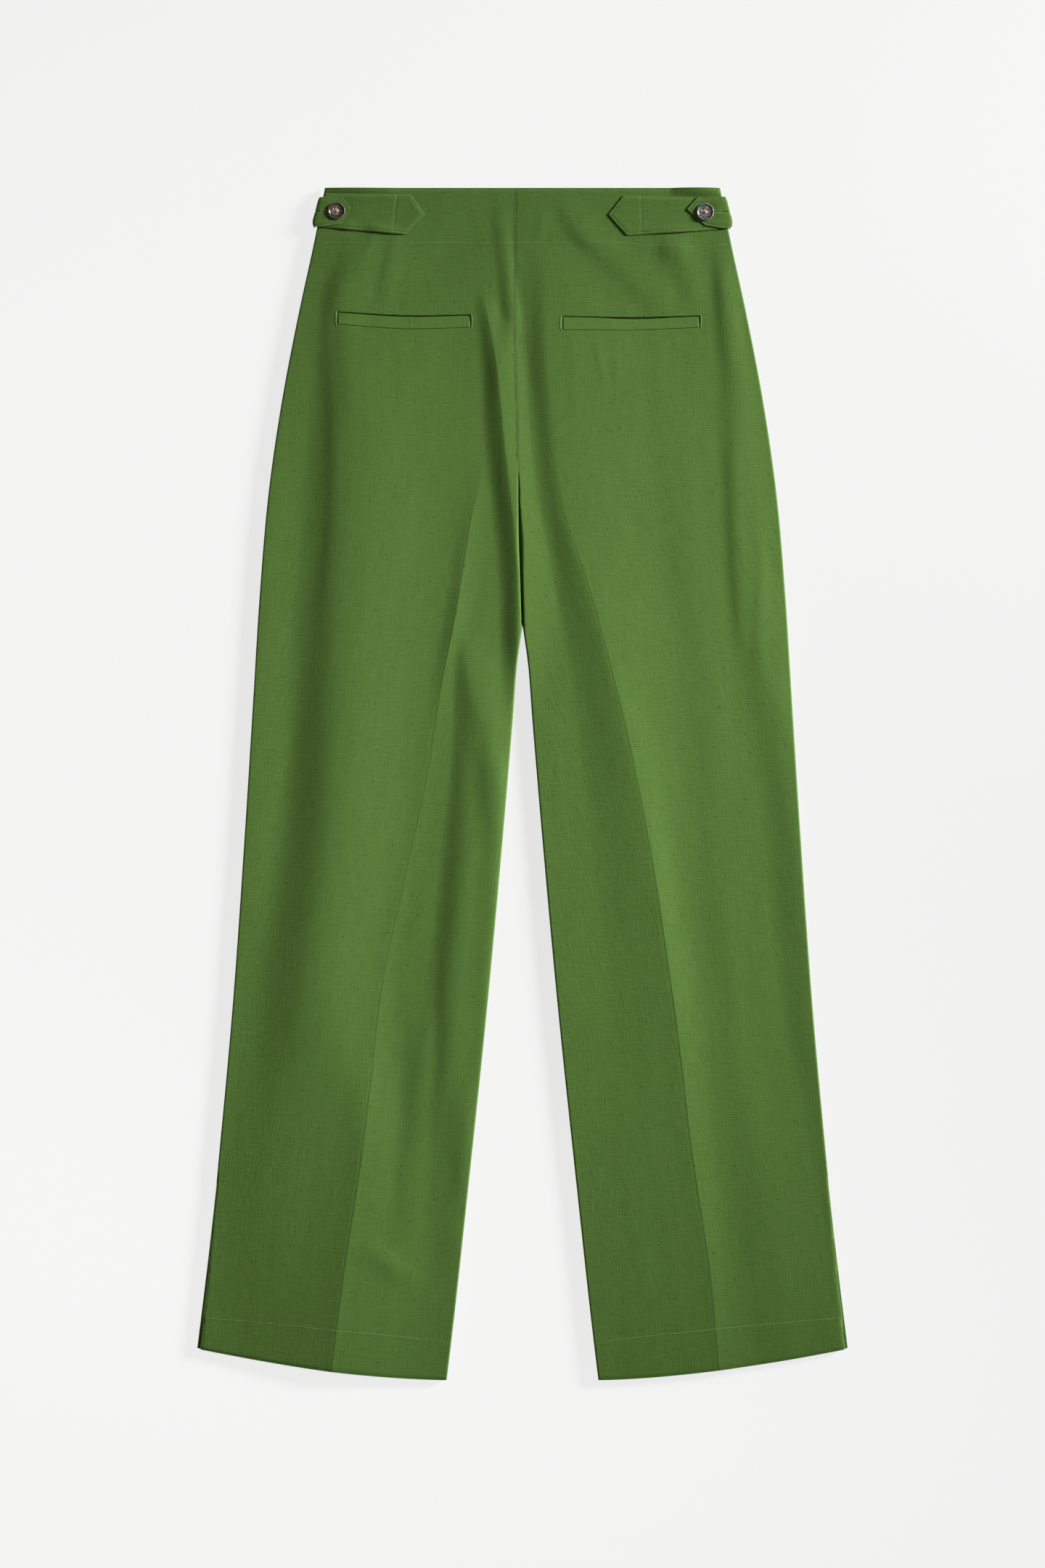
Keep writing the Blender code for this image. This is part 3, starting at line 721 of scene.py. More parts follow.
@dataclass(frozen=True)
class LaidBack:
    """The form of the two back panels as they lie: the air under them, and the finer relief in them."""

    outline: Outline = Outline()
    loft: float = 0.0050  # height of the air between front and back away from the folds
    edge_power: float = 3.2  # how squarely it turns down to its seams
    ridges: tuple[Ridge, ...] = (
        LEFT_LEG_FOLD, LEFT_INSEAM_FOLD, SEAT_FOLD, RIGHT_LEG_FOLD, RIGHT_SIDE_FOLD,
        LEFT_SIDE_FOLD, LEFT_SIDE_TROUGH, LEFT_SIDE_LINE, LEFT_LOWER_FOLD, LEFT_STRAP_DIP,
        LEFT_CENTRE_FOLD, LEFT_CREASE_FOLD, INSEAM_CORE_FOLD, INSEAM_SPOT_FOLD, INSEAM_EDGE_FOLD,
        SHIN_FOLD, RIGHT_CREASE_TROUGH, SEAT_DIAGONAL, STRAP_REST_FOLD, RIGHT_SIDE_LINE,
        RIGHT_SIDE_STREAK, RIGHT_THIGH_FOLD, LEFT_WAIST_LIFT, RIGHT_WAIST_LIFT,
    )
    creases: tuple[PressedCrease, ...] = (LEFT_CREASE, RIGHT_CREASE)
    puckers: tuple[Pucker, ...] = PUCKERS
    unevenness: Unevenness = Unevenness(seed=11)
    seam_groove: float = 0.00012  # depth of the groove along the centre back seam
    seam_groove_width: float = 0.0008
    seam_groove_start: float = 0.02  # stretch above the fork over which it deepens
    pockets: tuple[Course, ...] = tuple(WELTS.values())
    recess: float = 0.0019  # depth at which a welt is set into the cloth
    recess_turn: float = 0.0003
    recess_end: float = 0.0003  # the recess is longer than the welt by this much at each end
    recess_foot: float = 0.0002  # and reaches this far below it
    tilt: float = 0.5  # share of that depth lost towards its lower edge
    mouth: float = 0.0010  # how much deeper the mouth over it is
    mouth_width: float = 0.0009
    slit: Course = Course(
        "y depth width",
        (0.12, 0.0, 0.0009),
        (0.15, 0.0045, 0.0009),
        (0.195, 0.004, 0.001),
        (0.225, 0.004, 0.0014),
        (0.245, 0.003, 0.0009),
        (0.29, 0.0, 0.0006),
    )

    def rolls(self, x: np.ndarray, y: np.ndarray) -> np.ndarray:
        """Turn the cloth down to its seams.

        Args:
            x: Places across the garment.
            y: Places along it.

        Returns:
            The share of the full height at each place.
        """
        from_side = self.outline.side_seam.at("x", y) - CLOTH - np.abs(x)
        from_inseam = np.abs(x) - self.outline.inseam.at("x", y) - CLOTH
        from_fork = np.hypot(x, y - self.outline.fork_y)
        from_inner = np.where(y < self.outline.fork_y, from_inseam, from_fork)
        roll = self.outline.edge_roll
        return edge_drop(from_side, roll, self.edge_power) * edge_drop(from_inner, roll, self.edge_power)

    def air(self, x: np.ndarray, y: np.ndarray) -> np.ndarray:
        """Height of the inner face over the level at which its edges meet the front, at the points (x, y)."""
        height = self.loft + sum(ridge.height(x, y) for ridge in self.ridges)
        height = height + sum(crease.height(x, y) for crease in self.creases)
        return height * self.rolls(x, y)

    def pocket_depth(self, x: np.ndarray, y: np.ndarray) -> np.ndarray:
        """Find how far the pockets are set into the cloth.

        Args:
            x: Places across the garment.
            y: Places along it.

        Returns:
            The depth at each place.
        """
        total = np.zeros(np.broadcast(x, y).shape)
        for welt in self.pockets:
            ends = welt.column("x")
            from_end = np.minimum(x - ends[0], ends[-1] - x) + self.recess_end
            from_mouth = welt.at("y_mouth", x) - y
            from_bottom = y - welt.at("y_bottom", x) + self.recess_foot
            share = np.clip(from_bottom / (from_bottom + from_mouth), 0, 1)
            depth = self.recess * (1 - self.tilt * (1 - share))
            depth = depth + self.mouth * bell(from_mouth, self.mouth_width)
            for distance in (from_end, from_mouth, from_bottom):
                depth = depth * (0.5 + 0.5 * np.tanh(distance / self.recess_turn))
            total = total + depth
        return total

    def relief(self, x: np.ndarray, y: np.ndarray) -> np.ndarray:
        """Find the fine relief that both faces share.

        Args:
            x: Places across the garment.
            y: Places along it.

        Returns:
            The height at each place.
        """
        height = self.unevenness.height(x, y) + sum(pucker.lift(x, y) for pucker in self.puckers)
        height = height - self.pocket_depth(x, y)
        from_centre = x - self.outline.centre_back.at("x", y)
        above_fork = np.clip((y - self.outline.fork_y) / self.seam_groove_start, 0, 1)
        groove = -self.seam_groove * above_fork * bell(from_centre, self.seam_groove_width)
        slit = -np.maximum(self.slit.at("depth", y), 0) * bell(from_centre, self.slit.at("width", y))
        return (height + groove + slit * self.slit.covers(y)) * self.rolls(x, y)


# ----------------------------------------
# Meshes
# ----------------------------------------


def grid_normals(grid: np.ndarray) -> np.ndarray:
    """Find the normals of a grid of points.

    Args:
        grid: Points in rows and columns.

    Returns:
        Unit normals, on the side that mostly faces up.
    """
    normals = np.cross(np.gradient(grid, axis=0), np.gradient(grid, axis=1))
    normals /= np.linalg.norm(normals, axis=2, keepdims=True)
    return normals * np.sign(normals[..., 2].sum())


def lifted(plan: np.ndarray, height: np.ndarray) -> np.ndarray:
    """Raise a grid of places in plan to the height of each."""
    return np.concatenate([plan, height[..., None]], axis=2)


def circle(radius: float, count: int) -> np.ndarray:
    """Points in plan, evenly spread round a circle."""
    turn = np.linspace(0, 2 * math.pi, count, endpoint=False)
    return radius * np.stack([np.cos(turn), np.sin(turn)], axis=1)


def tube_faces(rings: int, sides: int, base: int = 0) -> list[tuple[int, ...]]:
    """Join rings of points to the wall of a tube.

    Args:
        rings: How many rings there are.
        sides: Points in each ring, numbered ring by ring.
        base: The first point's number.

    Returns:
        The faces.
    """
    faces = []
    for low in range(base, base + (rings - 1) * sides, sides):
        high = low + sides
        for step in range(sides):
            after = (step + 1) % sides
            faces.append((low + step, low + after, high + after, high + step))
    return faces


def mesh_object(name: str, points: np.ndarray, faces: Sequence, uv: np.ndarray) -> Object:
    """Make a smooth-shaded object.

    Args:
        name: The object's name.
        points: Its vertices.
        faces: Its faces, as vertex numbers.
        uv: The place of each vertex on the cut cloth, in metres.

    Returns:
        The object, linked into the scene.
    """
    mesh = bpy.data.meshes.new(name)
    mesh.from_pydata([tuple(p) for p in points.tolist()], [], [tuple(f) for f in faces])
    corner = np.zeros(len(mesh.loops), np.int32)
    mesh.loops.foreach_get("vertex_index", corner)
    layer = mesh.uv_layers.new(name="cut")
    layer.data.foreach_set("uv", uv[corner].astype(np.float32).ravel())
    mesh.validate()
    mesh.shade_smooth()
    mesh.set_sharp_from_angle(angle=math.radians(SHARP_DEGREES))
    piece = bpy.data.objects.new(name, mesh)
    bpy.context.scene.collection.objects.link(piece)
    return piece


def shell_object(
    name: str, lower: np.ndarray, upper: np.ndarray, uv: np.ndarray, bulge: float
) -> Object:
    """Make a closed cloth shell between two grids of points of the same size.

    Args:
        name: The object's name.
        lower: Points of the underside, in rows and columns.
        upper: Points of the upper side.
        uv: The place of each point on the cut cloth, in metres.
        bulge: How far the rounded edge stands out.

    Returns:
        The object, linked into the scene.
    """
    rows, columns = lower.shape[:2]
    count = rows * columns
    index = np.arange(count).reshape(rows, columns)
    cells = np.stack([index[:-1, :-1], index[:-1, 1:], index[1:, 1:], index[1:, :-1]], axis=-1).reshape(-1, 4)
    ring = np.concatenate([index[0, :-1], index[:-1, -1], index[-1, :0:-1], index[:0:-1, 0]])
    inward = np.concatenate([index[1, :-1], index[:-1, -2], index[-2, :0:-1], index[:0:-1, 1]])
    flat_lower = lower.reshape(-1, 3)
    flat_upper = upper.reshape(-1, 3)
    out = flat_lower[ring] - flat_lower[inward]
    out[:, 2] = 0
    out /= np.maximum(np.linalg.norm(out, axis=1, keepdims=True), 1e-9)
    middle = (flat_lower[ring] + flat_upper[ring]) / 2 + out * bulge
    edges = (ring, 2 * count + np.arange(len(ring)), ring + count)
    rim = [np.stack([a, np.roll(a, -1), np.roll(b, -1), b], axis=-1) for a, b in zip(edges, edges[1:])]
    faces = np.concatenate([cells[:, ::-1], cells + count, *rim])
    if np.cross(upper[1, 0] - upper[0, 0], upper[0, 1] - upper[0, 0])[2] > 0:
        faces = faces[:, ::-1]
    points = np.concatenate([flat_lower, flat_upper, middle])
    flat_uv = uv.reshape(-1, 2)
    return mesh_object(name, points, faces.tolist(), np.concatenate([flat_uv, flat_uv, flat_uv[ring]]))


def dressed(piece: Object, material: Material) -> Object:
    """Give a piece its material, and let it ride on the body."""
    piece.data.materials.append(material)
    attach(piece, BODY)
    return piece


class Support:
    """The upper faces of pieces that others lie on."""

    above = 0.1  # height from which they are looked for

    def __init__(self, *pieces: Object) -> None:
        """Read the meshes of the pieces."""
        self.trees = []
        for piece in pieces:
            points = [v.co for v in piece.data.vertices]
            faces = [tuple(p.vertices) for p in piece.data.polygons]
            self.trees.append(BVHTree.FromPolygons(points, faces))

    def height(self, x: float, y: float) -> float:
        """Highest z of the pieces under the point, or 0 off all of them."""
        start = Vector((x, y, self.above))
        hits = [tree.ray_cast(start, Vector((0, 0, -1)))[0] for tree in self.trees]
        return max((hit.z for hit in hits if hit is not None), default=0.0)

    def under(self, plan: np.ndarray) -> np.ndarray:
        """Highest z under each point of a grid in plan."""
        heights = [self.height(float(x), float(y)) for x, y in plan.reshape(-1, 2)]
        return np.array(heights).reshape(plan.shape[:-1])


def smoothed(values: np.ndarray, rounds: int) -> np.ndarray:
    """Even out a grid of numbers.

    Args:
        values: Numbers in rows and columns.
        rounds: How many times each is averaged with its neighbours.

    Returns:
        The evened numbers.
    """
    for _ in range(rounds):
        for axis in (0, 1):
            padded = np.pad(values, [(1, 1) if a == axis else (0, 0) for a in (0, 1)], mode="edge")
            before = np.take(padded, range(0, values.shape[axis]), axis=axis)
            after = np.take(padded, range(2, values.shape[axis] + 2), axis=axis)
            values = 0.25 * before + 0.5 * values + 0.25 * after
    return values


# ----------------------------------------
# Finishes
# ----------------------------------------


def linear(code: str) -> tuple[float, float, float, float]:
    """Turn an sRGB hex colour such as "#52703a" into linear red, green, blue and alpha."""
    shares = [int(code[i : i + 2], 16) / 255 for i in (1, 3, 5)]
    steps = [s / 12.92 if s <= 0.04045 else ((s + 0.055) / 1.055) ** 2.4 for s in shares]
    return (steps[0], steps[1], steps[2], 1.0)


def set_inputs(node: Node, inputs: dict) -> None:
    """Give each named or numbered input of a node its value, or a link from another node's output."""
    for key, value in inputs.items():
        if isinstance(value, NodeSocket):
            node.id_data.links.new(value, node.inputs[key])
        else:
            node.inputs[key].default_value = value


def add_node(
    owner: Material | World,
    kind: str,
    inputs: dict | None = None,
    output: int | str = 0,
    **settings: object,
) -> NodeSocket:
    """Add a node with its settings and links.

    Args:
        owner: What the node belongs to.
        kind: Blender's name for the node, without the ShaderNode that it starts with.
        inputs: A value, or another node's output, for each named or numbered input.
        output: The output that is wanted.
        **settings: The node's own properties.

    Returns:
        That output of the node.
    """
    node = owner.node_tree.nodes.new(f"ShaderNode{kind}")
    for key, value in settings.items():
        setattr(node, key, value)
    set_inputs(node, inputs or {})
    return node.outputs[output]


def cut_in_millimetres(material: Material) -> NodeSocket:
    """The place on the cut cloth, or on a button's face, in millimetres."""
    cut = add_node(material, "TexCoord", output="UV")
    return add_node(material, "VectorMath", {0: cut, "Scale": 1000.0}, operation="SCALE")


def new_material(name: str, **sockets: object) -> tuple[Material, Node]:
    """Start a material with a Principled shader.

    Args:
        name: The material's name.
        **sockets: Constants for the shader's sockets, with _ for a space.

    Returns:
        The material and its shader.
    """
    material = bpy.data.materials.new(name)
    material.use_nodes = True
    shader = material.node_tree.nodes["Principled BSDF"]
    set_inputs(shader, {key.replace("_", " "): value for key, value in sockets.items()})
    return material, shader


@dataclass(frozen=True)
class LinenBlend:
    """Linen blend, plain woven, piece dyed and pressed.

    Flax yarn is uneven, so the eye sees slubs across and along the cloth, a slightly mottled dye and a few
    dark specks of stalk. Pressing leaves it dull, with a faint sheen only where light grazes it.
    """

    name: str
    deep: str = "#486729"
    pale: str = "#5a7b38"
    speck: str = "#2f4420"
    sheen: str = "#b9cf9a"
    roughness: float = 0.86
    thread_mm: float = 1.25  # the real 0.45 mm threads are too fine to show, so they are drawn coarser
    slub_mm: float = 1.1  # width of the uneven stretches of yarn, drawn at twice their real width
    slub_length_mm: float = 16.0
    mottle_mm: float = 11.0  # width of the long faint streaks of the dye
    mottle_length_mm: float = 95.0
    speck_spacing_mm: float = 30.0
    speck_share: float = 0.020  # radius of a speck, as a share of that spacing
    yarn_weight: float = 0.72  # how much the yarn, the weave and the dye each change the tone
    weave_weight: float = 0.10
    mottle_weight: float = 0.30
    relief_m: float = 0.00035
    relief_strength: float = 0.46
    weave_relief: float = 0.35  # the weave's share in the relief, beside the yarn's 1

    def build(self) -> Material:
        """Make the material."""
        material, shader = new_material(
            self.name,
            Roughness=self.roughness,
            Metallic=0.0,
            IOR=1.46,
            Sheen_Weight=0.06,
            Sheen_Roughness=0.45,
            Sheen_Tint=linear(self.sheen),
            Specular_IOR_Level=0.22,
        )
        add = partial(add_node, material)
        place = cut_in_millimetres(material)
        clouds = []
        for width, length in (
            (self.slub_mm, self.slub_length_mm),
            (self.slub_length_mm, self.slub_mm),
            (self.mottle_mm, self.mottle_length_mm),
        ):
            stretched = add("VectorMath", {0: place, 1: (1 / width, 1 / length, 1.0)}, operation="MULTIPLY")
            look = {"Vector": stretched, "Scale": 1.0, "Detail": 1.5, "Roughness": 0.6}
            clouds.append(add("TexNoise", look, noise_dimensions="2D"))
        weft, warp, mottle = clouds
        yarn = add("Math", {0: weft, 1: warp}, operation="ADD")
        waves = []
        for part in add("SeparateXYZ", {0: place}).node.outputs[:2]:
            turns = add("Math", {0: part, 1: 2 * math.pi / self.thread_mm}, operation="MULTIPLY")
            waves.append(add("Math", {0: turns}, operation="SINE"))
        weave = add("Math", {0: waves[0], 1: waves[1]}, operation="MULTIPLY")
        tone = 0.5
        for source, weight, middle in (
            (yarn, self.yarn_weight, 1.0),
            (weave, self.weave_weight, 0.0),
            (mottle, self.mottle_weight, 0.5),
        ):
            scaled = add("Math", {0: source, 1: weight, 2: -weight * middle}, operation="MULTIPLY_ADD")
            tone = add("Math", {0: scaled, 1: tone}, operation="ADD")
        dyes = {0: tone, 6: linear(self.deep), 7: linear(self.pale)}
        dyed = add("Mix", dyes, output=2, data_type="RGBA", clamp_factor=True)
        cells = {"Vector": place, "Scale": 1 / self.speck_spacing_mm}
        distance = add("TexVoronoi", cells, "Distance", voronoi_dimensions="2D")
        speck = add("Math", {0: distance, 1: self.speck_share}, operation="LESS_THAN")
        colour = add("Mix", {0: speck, 6: dyed, 7: linear(self.speck)}, output=2, data_type="RGBA")
        height = add("Math", {0: weave, 1: self.weave_relief, 2: yarn}, operation="MULTIPLY_ADD")
        relief = {"Strength": self.relief_strength, "Distance": self.relief_m, "Height": height}
        set_inputs(shader, {"Base Color": colour, "Normal": add("Bump", relief)})
        return material


@dataclass(frozen=True)
class SewingThread:
    """Core-spun polyester sewing thread, dyed to go with the cloth.

    It is rounder and smoother than the linen, so it catches a little more light than the cloth beside it.
    """

    name: str
    colour: str
    roughness: float = 0.55
    twist_mm: float = 0.45  # length of one turn of the twist
    twist_painted_shade: float = 0.8  # the thread's colour between two turns, as a share of its own: painted shade in the groove between them
    relief_m: float = 0.0001

    def build(self) -> Material:
        """Make the material."""
        material, shader = new_material(
            self.name, Roughness=self.roughness, Metallic=0.0, IOR=1.5, Sheen_Weight=0.1, Sheen_Roughness=0.4
        )
        add = partial(add_node, material)
        turns = {"Vector": cut_in_millimetres(material), "Scale": 1 / self.twist_mm, "Distortion": 0.5}
        twist = add("TexWave", turns, "Fac", bands_direction="DIAGONAL")
        shade = self.twist_painted_shade
        # The thread is painted darker between its turns, as painted shade in the grooves of the twist.
        colours = {0: twist, 6: linear(self.colour), 7: (shade, shade, shade, 1.0)}
        colour = add("Mix", colours, output=2, data_type="RGBA", blend_type="MULTIPLY")
        relief = {"Strength": 0.4, "Distance": self.relief_m, "Height": twist}
        set_inputs(shader, {"Base Color": colour, "Normal": add("Bump", relief)})
        return material


@dataclass(frozen=True)
class HornResin:
    """Horn-effect polyester resin, cast in mottled layers, turned and polished.

    It is dark brown with smoky grey and cream clouds, and the polish gives it a tight highlight at the rim; a
    paler ring round the rim is a painted highlight.
    """

    name: str
    dark: str
    smoke: str
    shift_mm: tuple[float, float, float]  # picks the stretch of clouds that this one is cut from
    cream: str = "#d8c8b0"
    cloud_mm: float = 7.0
    streak_mm: float = 1.6
    middle_mm: float = 4.8  # the clouds thicken inside this radius
    middle_cream: float = 0.32
    rim_mm: float = 7.1  # and outside this radius a paler ring is painted on the rim, as its highlight
    rim_turn_mm: float = 0.2
    rim_painted_highlight: float = 0.16
    smoke_limits: tuple[float, float] = (0.46, 0.72)  # values of a pattern between which smoke sets in
    cream_limits: tuple[float, float] = (0.54, 0.86)  # and cream

    def build(self) -> Material:
        """Make the material."""
        material, shader = new_material(
            self.name, Roughness=0.28, Metallic=0.0, IOR=1.55, Coat_Weight=0.6, Coat_Roughness=0.18
        )
        add = partial(add_node, material)
        place = cut_in_millimetres(material)
        shifted = add("VectorMath", {0: place, 1: self.shift_mm}, operation="ADD")
        cloud, streak = (
            add("TexNoise", {"Vector": shifted, "Scale": 1 / size, "Detail": 3.0, "Distortion": 0.8})
            for size in (self.cloud_mm, self.streak_mm)
        )
        radius = add("VectorMath", {0: place}, "Value", operation="LENGTH")
        rim, turn = self.rim_mm, self.rim_turn_mm
        middle, painted_rim_highlight, smoky = (
            add("MapRange", {"Value": value, "From Min": low, "From Max": high, "To Max": most})
            for value, low, high, most in (
                (radius, self.middle_mm, self.middle_mm / 3, self.middle_cream),
                (radius, rim - turn, rim + turn, self.rim_painted_highlight),
                (streak, *self.smoke_limits, 1.0),
            )
        )
        thick = add("Math", {0: cloud, 1: middle}, operation="ADD")
        low, high = self.cream_limits
        milky = add("MapRange", {"Value": thick, "From Min": low, "From Max": high})
        colour = linear(self.dark)
        # A paler ring on the rim is painted in as its highlight.
        for share, code in ((smoky, self.smoke), (milky, self.cream), (painted_rim_highlight, self.cream)):
            colour = add("Mix", {0: share, 6: colour, 7: linear(code)}, output=2, data_type="RGBA")
        set_inputs(shader, {"Base Color": colour})
        return material


@dataclass(frozen=True)
class SweepPaper:
    """Matt white background paper on a light table, which is brighter where the lamps reach less."""

    name: str = "matt_white_sweep_paper"
    colour: str = "#ffffff"
    reflected: float = 0.14
    glow: float = 0.718
    farthest_glow: float = 0.812
    lamp_side: tuple[float, float, float] = (0.62, 0.08, 0.0)  # where the lamps reach the most
    spread: tuple[float, float, float] = (0.50, 0.90, 0.0)  # how fast they fade along x and y, per metre
    reach: float = 0.80  # where that fading ends

    def build(self) -> Material:
        """Make the material."""
        shade = self.reflected
        material, shader = new_material(
            self.name,
            Base_Color=(shade, shade, shade, 1.0),
            Roughness=1.0,
            Specular_IOR_Level=0.0,
            Emission_Color=linear(self.colour),
        )
        add = partial(add_node, material)
        place = add("TexCoord", output="Object")
        away = add("VectorMath", {0: place, 1: self.lamp_side}, operation="SUBTRACT")
        scaled = add("VectorMath", {0: away, 1: self.spread}, operation="MULTIPLY")
        fade = add("VectorMath", {0: scaled}, "Value", operation="LENGTH")
        levels = {"Value": fade, "From Max": self.reach, "To Min": self.glow, "To Max": self.farthest_glow}
        set_inputs(shader, {"Emission Strength": add("MapRange", levels, interpolation_type="SMOOTHSTEP")})
        return material


# ----------------------------------------
# Cloth
# ----------------------------------------


@dataclass
class ClothPiece:
    """A piece of cloth on one side of the garment. Each kind adds its sizes, and a build method."""

    kind: ClassVar[str]
    slot: ClassVar[Slot] = Slot.TRIM
    bulge: ClassVar[float] = 0.25  # how far its rounded edge stands out, as a share of its thickness
    side: Side
    piece: Object | None = field(default=None, init=False)

    @property
    def node(self) -> str:
        """The name of its solid."""
        return f"{self.kind}_{self.side.word}"

    @property
    def name(self) -> str:
        """The piece's name."""
        return f"{self.node}_cloth"

    def dress(self, cloth: Material, rests_on: str, *sewn_on: Object) -> None:
        """Give the piece its cloth, let it ride on the body and hide its solid.

        Args:
            cloth: The material.
            rests_on: The name of what it lies on. Not used.
            *sewn_on: The separate pieces that go with it. Not used.
        """
        dressed(self.piece, cloth)
        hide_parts(self.node)


@dataclass
class Panel(ClothPiece):
    """A back or front panel, from the hem to the waist edge."""

    bulge = 0.3
    form: LaidBack
    crease: PressedCrease

    @property
    def name(self) -> str:
        """The piece's name."""
        return f"{self.kind}_panel_{self.side.word}"


@dataclass
class BackPanel(Panel):
    """One back panel, cut in one with its part of the waist."""

    kind = "back"
    slot = Slot.BACK
    flat: tuple[float, float] = (0.307, 1.102)
    area: float = 0.261
    roll_steps: int = 5
    near_steps: tuple[float, ...] = (0.0011, 0.0017, 0.0026, 0.0038)  # columns beside an edge
    crease_steps: tuple[float, ...] = (0.0006, 0.0012, 0.0019, 0.0030)  # and beside the crease
    inner_columns: int = 32
    outer_columns: int = 76
    row_spacing: float = 0.0042
    least_spacing: float = 0.0002
    fine_bands: tuple[tuple[float, float, float], ...] = (
        (-0.5500, -0.5470, 0.0007),
        (-0.5180, -0.5130, 0.0007),
        (0.4175, 0.4365, 0.0005),
        (0.4950, 0.5020, 0.0007),
        (0.5430, 0.5500, 0.0010),
    )  # low, high and spacing of rows that are closer together
    welt_pull: float = 0.7  # how strongly columns crowd together at the ends of the welt
    welt_reach: tuple[float, float] = (0.010, 0.020)  # how far from an end they do so, across and along
    edge_dip: float = 0.0007  # the folded hem and waist edge turn down by this much
    edge_dip_width: float = 0.0018

    def levels(self) -> np.ndarray:
        """Lay out the rows, closer together at the hem, the pocket and the seams across.

        Returns:
            The rows' y at the inseam.
        """
        outline = self.form.outline
        count = round((outline.waist_y - outline.hem_y) / self.row_spacing)
        rows = [np.linspace(outline.hem_y, outline.waist_y, count + 1), [outline.fork_y]]
        for low, high, spacing in self.fine_bands:
            rows.append(np.linspace(low, high, round((high - low) / spacing) + 1))
        levels = np.unique(np.concatenate(rows))
        return levels[np.concatenate([[True], np.diff(levels) > self.least_spacing])]

    def columns(self, y: float) -> np.ndarray:
        """Lay out one row of points.

        Args:
            y: The row's height at the inseam.

        Returns:
            The x of each point, from the inner edge to the side seam.
        """
        outline = self.form.outline
        sign = self.side.value
        turn = (1 - np.cos(np.linspace(0, math.pi / 2, self.roll_steps))) * outline.edge_roll
        steps = sign * np.concatenate([turn, self.near_steps])
        near = outline.inner_x(self.side, y) + steps
        far = outline.outer_x(self.side, y) - steps[::-1]
        crease = float(self.crease.x(y))
        beside = sign * np.array(self.crease_steps)
        middle = np.linspace(near[-1], crease - beside[-1], self.inner_columns + 1)[1:-1]
        rest = np.linspace(crease + beside[-1], far[0], self.outer_columns + 1)[1:-1]
        x = np.concatenate([near, middle, crease - beside[::-1], [crease], crease + beside, rest, far])
        welt = WELTS[self.side].rows
        across, along = self.welt_reach
        pull = self.welt_pull * bell(y - welt[0][1], along)
        for end in (welt[0][0], welt[-1][0]):
            away = x - end
            x = end + away * (1 - pull * bell(away, across))
        return x

    def build(self) -> Support:
        """Make the panel's shell.

        Returns:
            The panel, for others to lie on.
        """
        outline = self.form.outline
        levels = self.levels()
        x = np.array([self.columns(level) for level in levels])
        y = np.array([outline.row_y(row, level) for row, level in zip(x, levels)])
        inner = np.stack([x, y, SEATING + self.form.air(x, y)], axis=2)
        normals = grid_normals(inner)
        # At the centre back the cloth is thickened straight up, so that the seam stays closed.
        seam = levels >= outline.fork_y
        upright = normals[seam, 0]
        upright[:, 0] = 0
        normals[seam, 0] = upright / np.linalg.norm(upright, axis=1, keepdims=True)
        outer = inner + normals * CLOTH
        relief = self.form.relief(x, y)
        from_end = np.minimum(levels - outline.hem_y, outline.waist_y - levels)[:, None]
        inner[..., 2] += relief
        outer[..., 2] += relief - self.edge_dip * bell(from_end, self.edge_dip_width) * self.form.rolls(x, y)
        uv = np.stack([x - self.crease.x(y), y], axis=2)
        self.piece = shell_object(self.name, inner, outer, uv, CLOTH * self.bulge)
        return Support(self.piece)


@dataclass
class FrontPanel(Panel):
    """One front panel, flat on the surface under the back one."""

    kind = "front"
    slot = Slot.FRONT
    flat: tuple[float, float] = (0.301, 1.097)
    area: float = 0.250
    inset: float = 0.0006  # its seam edges lie this far inside the outline
    drop: float = 0.004  # waist edge below the back one at the side seam
    dip: float = 0.012  # and at the centre front
    dip_reach: float = 0.080  # how far down the rows follow that edge
    swell: float = 0.25  # unevenness of its upper side, as a share of its thickness
    waves: tuple[float, float] = (95.0, 13.0)  # how closely it swells along x and y, in radians per metre
    columns: int = 44
    row_spacing: float = 0.006

    def build(self) -> None:
        """Make the panel's shell."""
        outline = self.form.outline
        count = round((outline.waist_y - outline.hem_y) / self.row_spacing)
        across = 0.5 - 0.5 * np.cos(np.linspace(0, math.pi, self.columns))
        rows = []
        for level in np.linspace(outline.hem_y, outline.waist_y, count + 1):
            outer = float(outline.side_seam.at("x", level)) - self.inset
            inner = GAP / 2
            if level < outline.fork_y:
                inner = max(float(outline.inseam.at("x", level)) + self.inset, inner)
            x = inner + (outer - inner) * (0.5 * across + 0.5 * np.linspace(0, 1, self.columns))
            near_waist = np.clip((level - outline.waist_y + self.dip_reach) / self.dip_reach, 0, 1)
            share = np.clip(x / outer, 0, 1)
            y = outline.row_y(x, level) - near_waist * (self.dip + (self.drop - self.dip) * share)
            rows.append(np.stack([self.side.value * x, y], axis=1))
        plan = np.array(rows)
        x, y = plan[..., 0], plan[..., 1]
        # Only its upper side is uneven: the underside lies flat on the surface.
        edge = np.clip(np.minimum(across, across[::-1])[None, :] * 2, 0, 1)
        swell = self.swell * WALL * edge * (1 + np.sin(x * self.waves[0] + y * self.waves[1]))
        uv = np.stack([x - self.crease.x(y), y], axis=2)
        lower = lifted(plan, np.zeros(x.shape))
        self.piece = shell_object(self.name, lower, lifted(plan, WALL + swell), uv, WALL * self.bulge)


class Point(NamedTuple):
    """A place in plan."""

    x: float
    y: float


